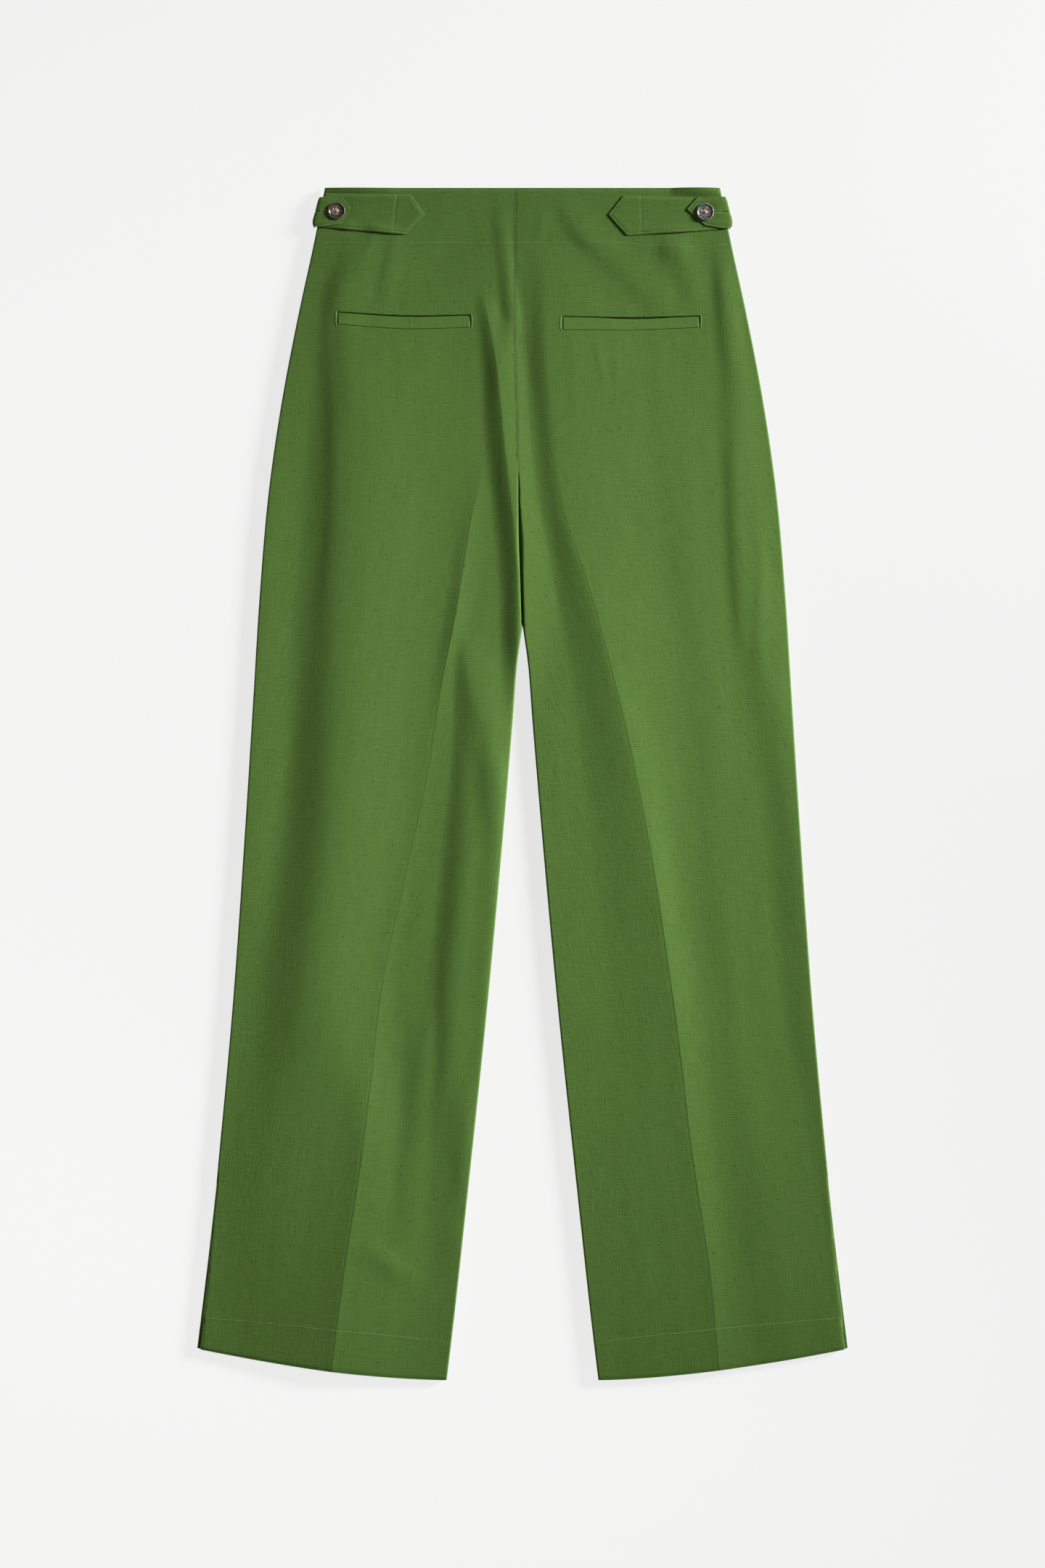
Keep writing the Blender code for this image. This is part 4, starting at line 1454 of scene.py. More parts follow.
@dataclass(frozen=True)
class StripPlan:
    """The plan of a strap or tab: three places across its plain outer end, and three across its pointed one.

    Each three go from the top edge over the middle to the bottom edge.
    """

    end: tuple[Point, Point, Point]
    tip: tuple[Point, Point, Point]

    def outline(self) -> np.ndarray:
        """The path round the strip from its outer end's top to its outer end's bottom."""
        return np.array([self.end[0], *self.tip, self.end[2]])

    def grid(self, spacing: float) -> np.ndarray:
        """Spread points over the strip.

        Args:
            spacing: Distance between neighbours.

        Returns:
            The points in plan, a row for each step from the outer end to the tip.
        """
        top, middle, bottom = (np.array([first, last]) for first, last in zip(self.end, self.tip))
        along = round(np.linalg.norm(middle[1] - middle[0]) / spacing)
        across = 2 * round(np.linalg.norm(top[0] - bottom[0]) / spacing / 2)
        v = np.linspace(-1, 1, across + 1)[:, None]
        share = np.abs(v)
        first, last = (middle[i] * (1 - share) + np.where(v < 0, bottom[i], top[i]) * share for i in (0, 1))
        u = np.linspace(0, 1, along + 1)[:, None, None]
        return first * (1 - u) + last * u


def inset_path(path: np.ndarray, distance: float) -> np.ndarray:
    """Move an open path sideways.

    Args:
        path: Its corners in plan.
        distance: How far it moves to the right of its own direction.

    Returns:
        The moved corners.
    """
    steps = np.diff(path, axis=0)
    steps /= np.linalg.norm(steps, axis=1, keepdims=True)
    aside = np.stack([steps[:, 1], -steps[:, 0]], axis=1)
    moved = [path[0] + aside[0] * distance]
    for corner, before, after in zip(path[1:-1], aside[:-1], aside[1:]):
        middle = before + after
        moved.append(corner + middle * distance * 2 / (middle @ middle))
    moved.append(path[-1] + aside[-1] * distance)
    return np.array(moved)


def distance_to(path: np.ndarray, points: np.ndarray) -> np.ndarray:
    """Measure how far points are from an open path.

    Args:
        path: Its corners in plan.
        points: The points in plan.

    Returns:
        The distance of each point.
    """
    nearest = np.full(points.shape[:-1], np.inf)
    for start, end in zip(path, path[1:]):
        step = end - start
        share = np.clip((points - start) @ step / (step @ step), 0, 1)
        away = np.linalg.norm(points - start - share[..., None] * step, axis=-1)
        nearest = np.minimum(nearest, away)
    return nearest


@dataclass(frozen=True)
class TopstitchedEdge:
    """The relief of cloth that is folded at its edge and stitched down just inside it."""

    rounding: float = 0.0005
    inset: float = 0.0015  # distance of the stitching from the edge
    trough_depth: float = 0.00028
    trough_width: float = 0.0007
    puff: float = 0.00010
    puff_width: float = 0.0060

    def trough(self, distance: np.ndarray) -> np.ndarray:
        """How far the cloth is drawn down at each distance from a line of stitches."""
        return self.trough_depth * bell(distance, self.trough_width)

    def relief(self, distance: np.ndarray) -> np.ndarray:
        """Height of the upper face at each distance from the edge, over a plain one."""
        edge = -self.rounding * (1 - edge_drop(distance, self.rounding))
        inside = np.clip((distance - self.inset) / self.puff_width, 0, 1)
        return edge - self.trough(distance - self.inset) + self.puff * np.sin(math.pi * inside)


@dataclass
class Strip(ClothPiece):
    """A pointed strip of doubled cloth, topstitched along its edge, with a line of needlework across it."""

    plan: StripPlan
    line: tuple[Point, Point]  # the stitches across a strap, or the buttonhole of a tab
    edge: TopstitchedEdge = TopstitchedEdge()
    under_rounds: int = 6  # how often the surface under it is evened out

    def stitch_path(self) -> np.ndarray:
        """The path of its topstitching in plan."""
        return inset_path(self.plan.outline(), -self.side.value * self.edge.inset)


@dataclass
class AdjusterStrap(Strip):
    """A pointed strap that lies on the back from near the side seam."""

    kind = "adjuster_strap"
    lifts: tuple[Pucker, ...] = ()
    flat: tuple[float, float] = (0.038, 0.100)
    area: float = 0.0031
    spacing: float = 0.0007
    cut_place: tuple[float, float] = (0.31, 0.17)  # where on the cloth it is cut

    def build(self, support: Support) -> None:
        """Make the strap's shell.

        Args:
            support: What it lies on.
        """
        grid = self.plan.grid(self.spacing)
        under = smoothed(support.under(grid), self.under_rounds) + LAY
        relief = self.edge.relief(distance_to(self.plan.outline(), grid))
        relief -= self.edge.trough(distance_to(np.array(self.line), grid))
        under = under + sum(lift.lift(grid[..., 0], grid[..., 1]) for lift in self.lifts)
        uv = grid[..., ::-1] + np.array((self.cut_place[0], self.cut_place[1] * self.side.value))
        upper = lifted(grid, under + STRIP_WALL + relief)
        self.piece = shell_object(self.name, lifted(grid, under), upper, uv, STRIP_WALL * self.bulge)


@dataclass
class AdjusterTab(Strip):
    """A short pointed tab that comes round the garment's side and buttons on the strap."""

    kind = "adjuster_tab"
    flat: tuple[float, float] = (0.030, 0.048)
    area: float = 0.0011
    fold: Course = Course(
        "y x", (0.5122, 0.1906), (0.5142, 0.193), (0.5175, 0.1937), (0.5285, 0.1914), (0.542, 0.1878)
    )
    squareness: float = 0.38  # 1 for a round turn, less for a flatter top
    foot: float = 0.0008  # height of the end that goes under, over the surface
    turns: tuple[int, ...] = tuple(range(150, 0, -10))
    spacing: float = 0.0004
    hole_depth: float = 0.0007
    hole_width: float = 0.00035
    cut_place: float = 0.57

    def build(self, back: Support, side_seam: Course) -> None:
        """Make the tab's shell.

        Args:
            back: The back panel under it.
            side_seam: The garment's side, round which it turns.
        """
        grid = self.plan.grid(self.spacing)
        height = smoothed(back.under(grid), self.under_rounds) + 2 * (LAY + STRIP_WALL)
        flat = lifted(grid, height)
        y, z = flat[0, :, 1], flat[0, :, 2]
        start = np.abs(flat[0, :, 0])
        fold = self.fold.at("x", y)
        seam = side_seam.at("x", y) + GAP + WALL
        middle = (z + self.foot) / 2
        rows = []
        for angle in map(math.radians, self.turns):
            near = start if angle < math.pi / 2 else seam
            x = self.side.value * (near + (fold - near) * math.sin(angle) ** self.squareness)
            rise = math.copysign(abs(math.cos(angle)) ** self.squareness, math.cos(angle))
            rows.append(np.stack([x, y, middle + (z - middle) * rise], axis=1))
        outer = np.concatenate([np.array(rows), flat])
        normals = grid_normals(outer)
        inner = outer - normals * STRIP_WALL
        relief = self.edge.relief(distance_to(self.plan.outline(), grid))
        relief -= self.hole_depth * bell(distance_to(np.array(self.line), grid), self.hole_width)
        relief = np.concatenate([np.repeat(relief[:1], len(rows), axis=0), relief])
        outer = outer + normals * relief[..., None]
        run = np.concatenate([[0], np.cumsum(np.linalg.norm(np.diff(outer, axis=0), axis=2).mean(axis=1))])
        uv = np.stack([outer[..., 1], np.broadcast_to(run[:, None], outer.shape[:2])], axis=2)
        self.piece = shell_object(self.name, inner, outer, uv + self.cut_place, STRIP_WALL * self.bulge)


@dataclass
class PocketWelt(ClothPiece):
    """The folded lip of a back pocket, sewn in along its lower edge and its ends."""

    kind = "pocket_welt"
    bulge = 0.2
    flat: tuple[float, float] = (0.0115, 0.126)
    area: float = 0.0014
    rounding: float = 0.0006
    seam_rounding: float = 0.0004
    step: float = 0.0008
    across: int = 20
    read_at: float = 0.3  # its floor is read at this share of its height
    read_span: float = 0.4  # and so much higher, clear of the walls round it
    under_rounds: int = 12
    cut_place: tuple[float, float] = (0.83, 0.29)

    def build(self, support: Support) -> None:
        """Make the welt's shell.

        Args:
            support: What it lies on.
        """
        welt = WELTS[self.side]
        ends = welt.column("x")
        x = np.linspace(ends[0], ends[-1], round((ends[-1] - ends[0]) / self.step) + 1)
        top = welt.at("y_top", x)[:, None]
        bottom = welt.at("y_bottom", x)[:, None]
        share = 0.5 - 0.5 * np.cos(np.linspace(0, math.pi, self.across + 1))
        y = bottom + (top - bottom) * share
        grid = np.stack([np.broadcast_to(x[:, None], y.shape), y], axis=2)
        places = (self.read_at, self.read_at + self.read_span)
        lines = [np.stack([x, (bottom + (top - bottom) * v)[:, 0]], axis=1) for v in places]
        low, high = (smoothed(support.under(line)[:, None], self.under_rounds) for line in lines)
        under = low + (high - low) * (share - self.read_at) / self.read_span + LAY
        from_end = np.minimum(x - ends[0], ends[-1] - x)[:, None]
        relief = -self.rounding * (1 - edge_drop(top - y, self.rounding))
        for distance in (y - bottom, from_end):
            relief = relief - self.seam_rounding * (1 - edge_drop(distance, self.seam_rounding))
        uv = grid[..., ::-1] + np.array((self.cut_place[0], self.cut_place[1] * self.side.value))
        upper = lifted(grid, under + STRIP_WALL + relief)
        self.piece = shell_object(self.name, lifted(grid, under), upper, uv, STRIP_WALL * self.bulge)


# ----------------------------------------
# Stitching
# ----------------------------------------


@dataclass
class Stitching:
    """Many stitches of one thread, joined in one piece: runs of lockstitch, bar tacks and buttonholes."""

    name: str
    support: Support
    seed: int
    length: float = 0.0018
    pitch: float = 0.0024
    width: float = 0.00050
    height: float = 0.00044
    rise: float = 0.00007  # the middle of a stitch over the cloth
    wander: float = 0.00012  # how far single stitches sink or stand out
    waves: tuple[float, ...] = (60, 151, 330)  # how closely they do so in turn, in radians per metre
    sides: int = 6
    stations: tuple[tuple[float, float], ...] = (
        (-0.5, 0.35),
        (-0.4, 0.85),
        (0.0, 1.0),
        (0.4, 0.85),
        (0.5, 0.35),
    )  # places along a stitch and its thickness there, as shares of its length and width
    turn_spread: float = 0.06  # how much stitches differ in direction, in radians
    sink_spread: float = 0.35  # how much of their sinking is down to each stitch alone
    lengths: tuple[float, float] = (0.92, 1.06)
    satin_turn_spread: float = 0.05
    satin_lengths: tuple[float, float] = (0.9, 1.08)
    hold: float = 0.3  # half of the stretch, in pitches, that sets a stitch's direction
    points: list[np.ndarray] = field(default_factory=list, init=False)

    def __post_init__(self) -> None:
        """Start the run of chance."""
        self.chance = np.random.default_rng(self.seed)

    def stitch(self, middle: np.ndarray, turn: float, length: float, sink: float = 0.0) -> None:
        """Add one stitch, unless an end of it is off the cloth.

        Args:
            middle: Its middle in plan.
            turn: Its direction in plan.
            length: Its length.
            sink: How far it lies below its usual height.
        """
        along = np.array((math.cos(turn), math.sin(turn)))
        ends = [middle - along * length / 2, middle + along * length / 2]
        low, high = (self.support.height(float(end[0]), float(end[1])) for end in ends)
        if min(low, high) <= 0:
            return
        forward = np.array((*(along * length), high - low))
        aside = np.array((-along[1], along[0], 0.0))
        centre = np.array((middle[0], middle[1], (low + high) / 2 + self.rise - sink))
        rings = []
        for place, size in self.stations:
            for step in range(self.sides):
                angle = 2 * math.pi * step / self.sides
                out = aside * math.cos(angle) * self.width / 2 * size
                up = np.array((0, 0, 1)) * math.sin(angle) * self.height / 2 * size
                rings.append(centre + forward * place + out + up)
        self.points.append(np.array(rings))

    def run(self, path: np.ndarray) -> None:
        """Sew along a path.

        Args:
            path: Its corners in plan.
        """
        pitch = self.pitch
        lengths = np.concatenate([[0], np.cumsum(np.linalg.norm(np.diff(path, axis=0), axis=1))])
        phase = self.chance.uniform(0, 2 * math.pi, len(self.waves))
        for place in np.arange(pitch / 2, lengths[-1], pitch):
            ends = np.array((place - pitch * self.hold, place + pitch * self.hold))
            x = np.interp(ends, lengths, path[:, 0])
            y = np.interp(ends, lengths, path[:, 1])
            turn = math.atan2(y[1] - y[0], x[1] - x[0]) + self.chance.normal(0, self.turn_spread)
            slow = sum(math.sin(place * k + p) for k, p in zip(self.waves, phase)) / len(self.waves)
            sink = self.wander * (slow + self.chance.normal(0, self.sink_spread))
            length = self.length * self.chance.uniform(*self.lengths)
            self.stitch(np.array((x.mean(), y.mean())), turn, length, sink)

    def satin(self, start: Point, end: Point, reach: float, spacing: float = 0.0004) -> None:
        """Sew a close row of stitches that lie across a line.

        Args:
            start: Where the line starts.
            end: Where it ends.
            reach: Length of each stitch.
            spacing: Distance between neighbours.
        """
        line = np.array(end) - np.array(start)
        turn = math.atan2(line[1], line[0]) + math.pi / 2
        for share in np.linspace(0, 1, max(round(float(np.linalg.norm(line)) / spacing), 1) + 1):
            middle = np.array(start) + line * share
            length = reach * self.chance.uniform(*self.satin_lengths)
            aside = self.chance.normal(0, self.satin_turn_spread)
            self.stitch(middle, turn + aside, length, -self.rise)

    def build(self, thread: Material) -> Object:
        """Join the stitches in one object and give it its thread.

        Args:
            thread: The material.

        Returns:
            The object.
        """
        rings = len(self.stations)
        each = rings * self.sides
        faces = [(face[0], *face[:0:-1]) for face in tube_faces(rings, self.sides)]
        faces += [tuple(range(self.sides)), tuple(range(each - 1, each - self.sides - 1, -1))]
        bases = range(0, len(self.points) * each, each)
        points = np.concatenate(self.points)
        all_faces = [[base + corner for corner in face] for base in bases for face in faces]
        return dressed(mesh_object(self.name, points, all_faces, points[:, :2]), thread)


# ----------------------------------------
# Buttons
# ----------------------------------------


def tube_points(path: np.ndarray, radius: float, sides: int) -> np.ndarray:
    """Points round a path.

    Args:
        path: Points along the middle.
        radius: The tube's radius.
        sides: Points round it.

    Returns:
        The points, a row for each point of the path.
    """
    along = np.gradient(path, axis=0)
    along /= np.linalg.norm(along, axis=1, keepdims=True)
    aside = np.cross(along, (0.31, 0.87, 0.38))  # any direction that the path doesn't take
    aside /= np.linalg.norm(aside, axis=1, keepdims=True)
    other = np.cross(along, aside)
    turn = np.linspace(0, 2 * math.pi, sides, endpoint=False)[None, :, None]
    return path[:, None] + radius * (aside[:, None] * np.cos(turn) + other[:, None] * np.sin(turn))


@dataclass
class HornButton:
    """A turned four-hole button with a raised rim and a dished middle, sewn on with a pair of threads."""

    side: Side
    share_over_cloth: float = 0.75  # of its height, because the tab gives under it
    rim: float = 0.0013
    dish: float = 0.0007
    bowl: float = 0.0003  # how much deeper the dish is at its middle
    profile_steps: int = 25
    face_rings: tuple[float, ...] = (0.88, 0.76, 0.64)  # shares of the radius that carry points of a face
    hole_radius: float = 0.0008
    hole_offset: float = 0.00155
    segments: int = 96
    hole_segments: int = 20
    thread_radius: float = 0.00036
    thread_sides: int = 10
    thread_steps: int = 15
    thread_start: float = -0.0002  # its ends under the button's underside
    arch: float = 0.0006  # height of the first thread over the dish: the other crosses over it
    arch_rise: float = 0.4  # share of that height that it gains towards its middle
    thread_over: float = 0.76  # share of its path that runs over the dish
    thread_dive: float = 0.16  # share over which it comes up out of a hole
    hole_margin: float = 0.96  # a triangle with its middle nearer than this to a hole's is in the hole

    @property
    def node(self) -> str:
        """The name of its solid."""
        return f"button_{self.side.word}"

    def profile(self, radius: float, height: float) -> np.ndarray:
        """Rings from the edge of the underside over the rim to the edge of the dish.

        Args:
            radius: The button's radius.
            height: Its height.

        Returns:
            The radius and height of each ring.
        """
        course = Course(
            "step radius height",
            (0.0, 0.62 * radius, 0.0),
            (1.0, 0.90 * radius, 0.12 * height),
            (2.0, radius, 0.45 * height),
            (3.0, 0.97 * radius, 0.80 * height),
            (4.0, radius - self.rim / 2, height),
            (5.0, radius - self.rim, 0.88 * height),
            (6.0, radius - 1.5 * self.rim, height - self.dish),
        )
        step = np.linspace(0, 6, self.profile_steps)
        return np.stack([course.at("radius", step), course.at("height", step)], axis=1)

    def disc(self, radius: float) -> tuple[np.ndarray, list[tuple[int, ...]], list[list[int]]]:
        """Fill a circle that has four round holes in it with triangles.

        Args:
            radius: The circle's radius.

        Returns:
            The points in plan with those of the circle first, the triangles, and each hole's ring of points.
        """
        centres = [np.array((i, j)) * self.hole_offset for i, j in ((1, 1), (1, -1), (-1, -1), (-1, 1))]
        plan = [circle(radius, self.segments)]
        plan += [centre + circle(self.hole_radius, self.hole_segments) for centre in centres]
        plan += [circle(radius * share, self.segments)[::2] for share in self.face_rings]
        rings = []
        start = 0
        for ring in plan[: 1 + len(centres)]:
            rings.append(list(range(start, start + len(ring))))
            start += len(ring)
        edges = [edge for ring in rings for edge in zip(ring, ring[1:] + ring[:1])]
        points = [Vector(place) for place in np.concatenate(plan).tolist()]
        result = delaunay_2d_cdt(points, edges, [], 0, 1e-7)
        spots = np.array([tuple(place) for place in result[0]])
        faces = []
        for face in result[2]:
            middle = spots[list(face)].mean(axis=0)
            nearest = min(np.linalg.norm(middle - centre) for centre in centres)
            if nearest > self.hole_radius * self.hole_margin:
                faces.append(tuple(face))
        return spots, faces, rings[1:]

    def build(self, horn: Material, thread: Material) -> list[Object]:
        """Make the button where its solid is, and the thread through its holes.

        Args:
            horn: The button's material.
            thread: The thread's material.

        Returns:
            The button and the thread.
        """
        low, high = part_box(self.node)
        centre = np.array(((low.x + high.x) / 2, (low.y + high.y) / 2, low.z - BUTTON_SINK))
        profile = self.profile((high.x - low.x) / 2, (high.z - low.z) * self.share_over_cloth)
        points = [np.column_stack([circle(r, self.segments), np.full(self.segments, z)]) for r, z in profile]
        faces = tube_faces(len(profile), self.segments)
        count = len(profile) * self.segments
        holes = []
        for (radius, z), ring, up in ((profile[0], 0, -1), (profile[-1], len(profile) - 1, 1)):
            spots, triangles, rings = self.disc(radius)
            deep = self.bowl * (1 - (np.linalg.norm(spots, axis=1) / radius) ** 2) if up > 0 else 0
            points.append(np.column_stack([spots, np.full(len(spots), z) - deep]))
            number = [ring * self.segments + i if i < self.segments else count + i for i in range(len(spots))]
            faces += [tuple(number[i] for i in face[::up]) for face in triangles]
            holes.append([[number[i] for i in hole] for hole in rings])
            count += len(spots)
        for below, above in zip(*holes):
            for step in range(self.hole_segments):
                after = (step + 1) % self.hole_segments
                faces.append((below[step], above[step], above[after], below[after]))
        used = np.unique([corner for face in faces for corner in face])
        new_number = {int(old): new for new, old in enumerate(used)}
        faces = [tuple(new_number[corner] for corner in face) for face in faces]
        everything = np.concatenate(points)[used]
        piece = dressed(mesh_object(f"horn_{self.node}", everything + centre, faces, everything[:, :2]), horn)
        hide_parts(self.node)
        return [piece, self.sew_on(centre, float(profile[-1][1]) - self.bowl, thread)]

    def sew_on(self, centre: np.ndarray, top: float, thread: Material) -> Object:
        """Make the threads that pass through the holes.

        Args:
            centre: The middle of the button's underside.
            top: Height of the dish over it.
            thread: The material.

        Returns:
            The threads, joined.
        """
        rows, sides = self.thread_steps, self.thread_sides
        points = []
        faces = []
        for sign, arch in ((1, self.arch), (-1, 2 * self.arch)):
            t = np.linspace(0, 1, rows)
            along = self.hole_offset * np.clip((2 * t - 1) / self.thread_over, -1, 1)
            rise = np.sin(np.clip(np.minimum(t, 1 - t) / self.thread_dive, 0, 1) * math.pi / 2)
            crown = top + arch * (1 - self.arch_rise + self.arch_rise * np.sin(math.pi * t))
            z = self.thread_start + (crown - self.thread_start) * rise
            base = len(points) * rows * sides
            path = np.stack([along, sign * along, z], axis=1) + centre
            points.append(tube_points(path, self.thread_radius, sides))
            faces += tube_faces(rows, sides, base)
            faces.append(tuple(base + i for i in reversed(range(sides))))
            faces.append(tuple(base + (rows - 1) * sides + i for i in range(sides)))
        everything = np.concatenate(points).reshape(-1, 3)
        piece = mesh_object(f"button_thread_{self.side.word}", everything, faces, everything[:, :2])
        return dressed(piece, thread)


# ----------------------------------------
# Studio
# ----------------------------------------


@dataclass(frozen=True)
class Studio:
    """A pale floor, soft light from low on the wearer's right, and the camera straight above."""

    lens_mm: float = 85.0
    sensor_mm: float = 36.0
    view_height: float = 1.447  # stretch of the surface that the frame's height takes in
    floor_radius: float = 40.0
    floor_sides: int = 96
    key_distance: float = 5.0
    key_elevation: float = 20.0
    key_azimuth: float = 22.0  # from +X towards +Y
    key_radius: float = 0.62
    key_power: float = 2850.0
    cone: float = 26.0
    overhead_place: tuple[float, float, float] = (0.0, 0.5, 3.4)
    overhead_size: float = 1.6
    overhead_power: float = 6.0
    wall_colour: str = "#ffffcb"  # cream walls, so shaded cloth stays a warm green
    wall_light: float = 0.42
    sky_light: float = 0.05
    wall_top: tuple[float, float] = (0.16, 0.34)  # heights on a unit sphere between which the walls end

    def place(self, name: str, data: bpy.types.ID, spot: Sequence[float]) -> Object:
        """Put a camera, lamp or mesh into the scene.

        Args:
            name: Its name.
            data: Its settings or its mesh.
            spot: Where it stands.

        Returns:
            The object.
        """
        thing = bpy.data.objects.new(name, data)
        thing.location = spot
        bpy.context.scene.collection.objects.link(thing)
        return thing

    def camera(self) -> None:
        """Put the camera over the middle of the garment."""
        low, high = cad_box
        data = bpy.data.cameras.new("camera")
        data.lens = self.lens_mm
        data.sensor_width = self.sensor_mm
        data.clip_end = 100.0
        away = self.view_height * self.lens_mm / self.sensor_mm
        spot = ((low.x + high.x) / 2, (low.y + high.y) / 2, high.z / 2 + away)
        bpy.context.scene.camera = self.place("camera", data, spot)

    def lamp(self, name: str, kind: str, spot: Vector, power: float, **settings: object) -> None:
        """Add a lamp that shines at the middle of the garment.

        Args:
            name: The lamp's name.
            kind: Blender's kind of lamp.
            spot: Where it stands.
            power: Its power in watts.
            **settings: Its other properties.
        """
        data = bpy.data.lights.new(name, kind)
        data.energy = power
        for key, value in settings.items():
            setattr(data, key, value)
        light = self.place(name, data, spot)
        light.rotation_mode = "QUATERNION"
        light.rotation_quaternion = (-spot).to_track_quat("-Z", "Y")

    def world(self) -> None:
        """Light the room: pale walls up to a little above the horizon, and a dim ceiling."""
        world = bpy.data.worlds.new("studio_room")
        world.use_nodes = True
        bpy.context.scene.world = world
        background = world.node_tree.nodes["Background"]
        direction = add_node(world, "TexCoord", output="Generated")
        height = add_node(world, "SeparateXYZ", {0: direction}, "Z")
        start, end = self.wall_top
        levels = {"From Min": start, "From Max": end, "To Min": self.wall_light, "To Max": self.sky_light}
        level = add_node(world, "MapRange", {"Value": height, **levels}, interpolation_type="SMOOTHSTEP")
        set_inputs(background, {"Strength": level, "Color": linear(self.wall_colour)})

    def floor(self) -> None:
        """Lay the floor under the garment."""
        mesh = bpy.data.meshes.new("floor")
        ring = [(x, y, 0.0) for x, y in circle(self.floor_radius, self.floor_sides).tolist()]
        mesh.from_pydata(ring, [], [tuple(range(self.floor_sides))])
        mesh.materials.append(SweepPaper().build())
        self.place("floor", mesh, (0.0, 0.0, -GAP))

    def build(self) -> None:
        """Build the floor, the room, the lamps and the camera."""
        self.floor()
        self.world()
        elevation = math.radians(self.key_elevation)
        azimuth = math.radians(self.key_azimuth)
        level = math.cos(elevation)
        key = Vector((level * math.cos(azimuth), level * math.sin(azimuth), math.sin(elevation)))
        self.lamp(
            "key_softbox",
            "SPOT",
            self.key_distance * key,
            self.key_power,
            shadow_soft_size=self.key_radius,
            spot_size=math.radians(self.cone),
            spot_blend=1.0,
        )
        overhead = Vector(self.overhead_place)
        disc = {"shape": "DISK", "size": self.overhead_size}
        self.lamp("overhead_softbox", "AREA", overhead, self.overhead_power, **disc)
        settings = bpy.context.scene.view_settings
        settings.view_transform = "Standard"
        settings.look = "None"
        self.camera()


# ----------------------------------------
# The two sides
# ----------------------------------------

STRAPS = {
    Side.LEFT: StripPlan(
        end=(Point(-0.1815, 0.545), Point(-0.1835, 0.529), Point(-0.1855, 0.5138)),
        tip=(Point(-0.103, 0.544), Point(-0.0905, 0.5255), Point(-0.1085, 0.507)),
    ),
    Side.RIGHT: StripPlan(
        end=(Point(0.177, 0.5408), Point(0.1785, 0.5265), Point(0.18, 0.5115)),
        tip=(Point(0.093, 0.5427), Point(0.079, 0.5255), Point(0.0965, 0.506)),
    ),
}
CROSS_STITCHES = {
    Side.LEFT: (Point(-0.1162, 0.544), Point(-0.12, 0.508)),
    Side.RIGHT: (Point(0.1095, 0.5427), Point(0.1095, 0.5068)),
}
TABS = {
    Side.LEFT: StripPlan(
        end=(Point(-0.179, 0.5412), Point(-0.181, 0.528), Point(-0.184, 0.514)),
        tip=(Point(-0.1662, 0.5412), Point(-0.1588, 0.531), Point(-0.1688, 0.516)),
    ),
    Side.RIGHT: StripPlan(
        end=(Point(0.179, 0.5416), Point(0.181, 0.528), Point(0.184, 0.5125)),
        tip=(Point(0.1615, 0.5416), Point(0.1514, 0.53), Point(0.1688, 0.515)),
    ),
}
BUTTON_HOLES = {
    Side.LEFT: (Point(-0.1865, 0.5285), Point(-0.1793, 0.5285)),
    Side.RIGHT: (Point(0.1768, 0.5275), Point(0.1838, 0.5275)),
}
STRAP_LIFTS = {
    Side.LEFT: (
        Pucker(-0.163, 0.5125, 5, 0.01, 0.006, 0.001),
        Pucker(-0.129, 0.5105, -14, 0.016, 0.006, 0.0013),
    ),
    Side.RIGHT: (Pucker(0.14, 0.5095, 4, 0.018, 0.006, 0.0012),),
}
FACING_LINE = {
    Side.LEFT: Course("x y", (0.0, 0.4995), (0.195, 0.5)),
    Side.RIGHT: Course("x y", (0.0, 0.4995), (0.1, 0.499), (0.125, 0.4968), (0.18, 0.497), (0.195, 0.4985)),
}


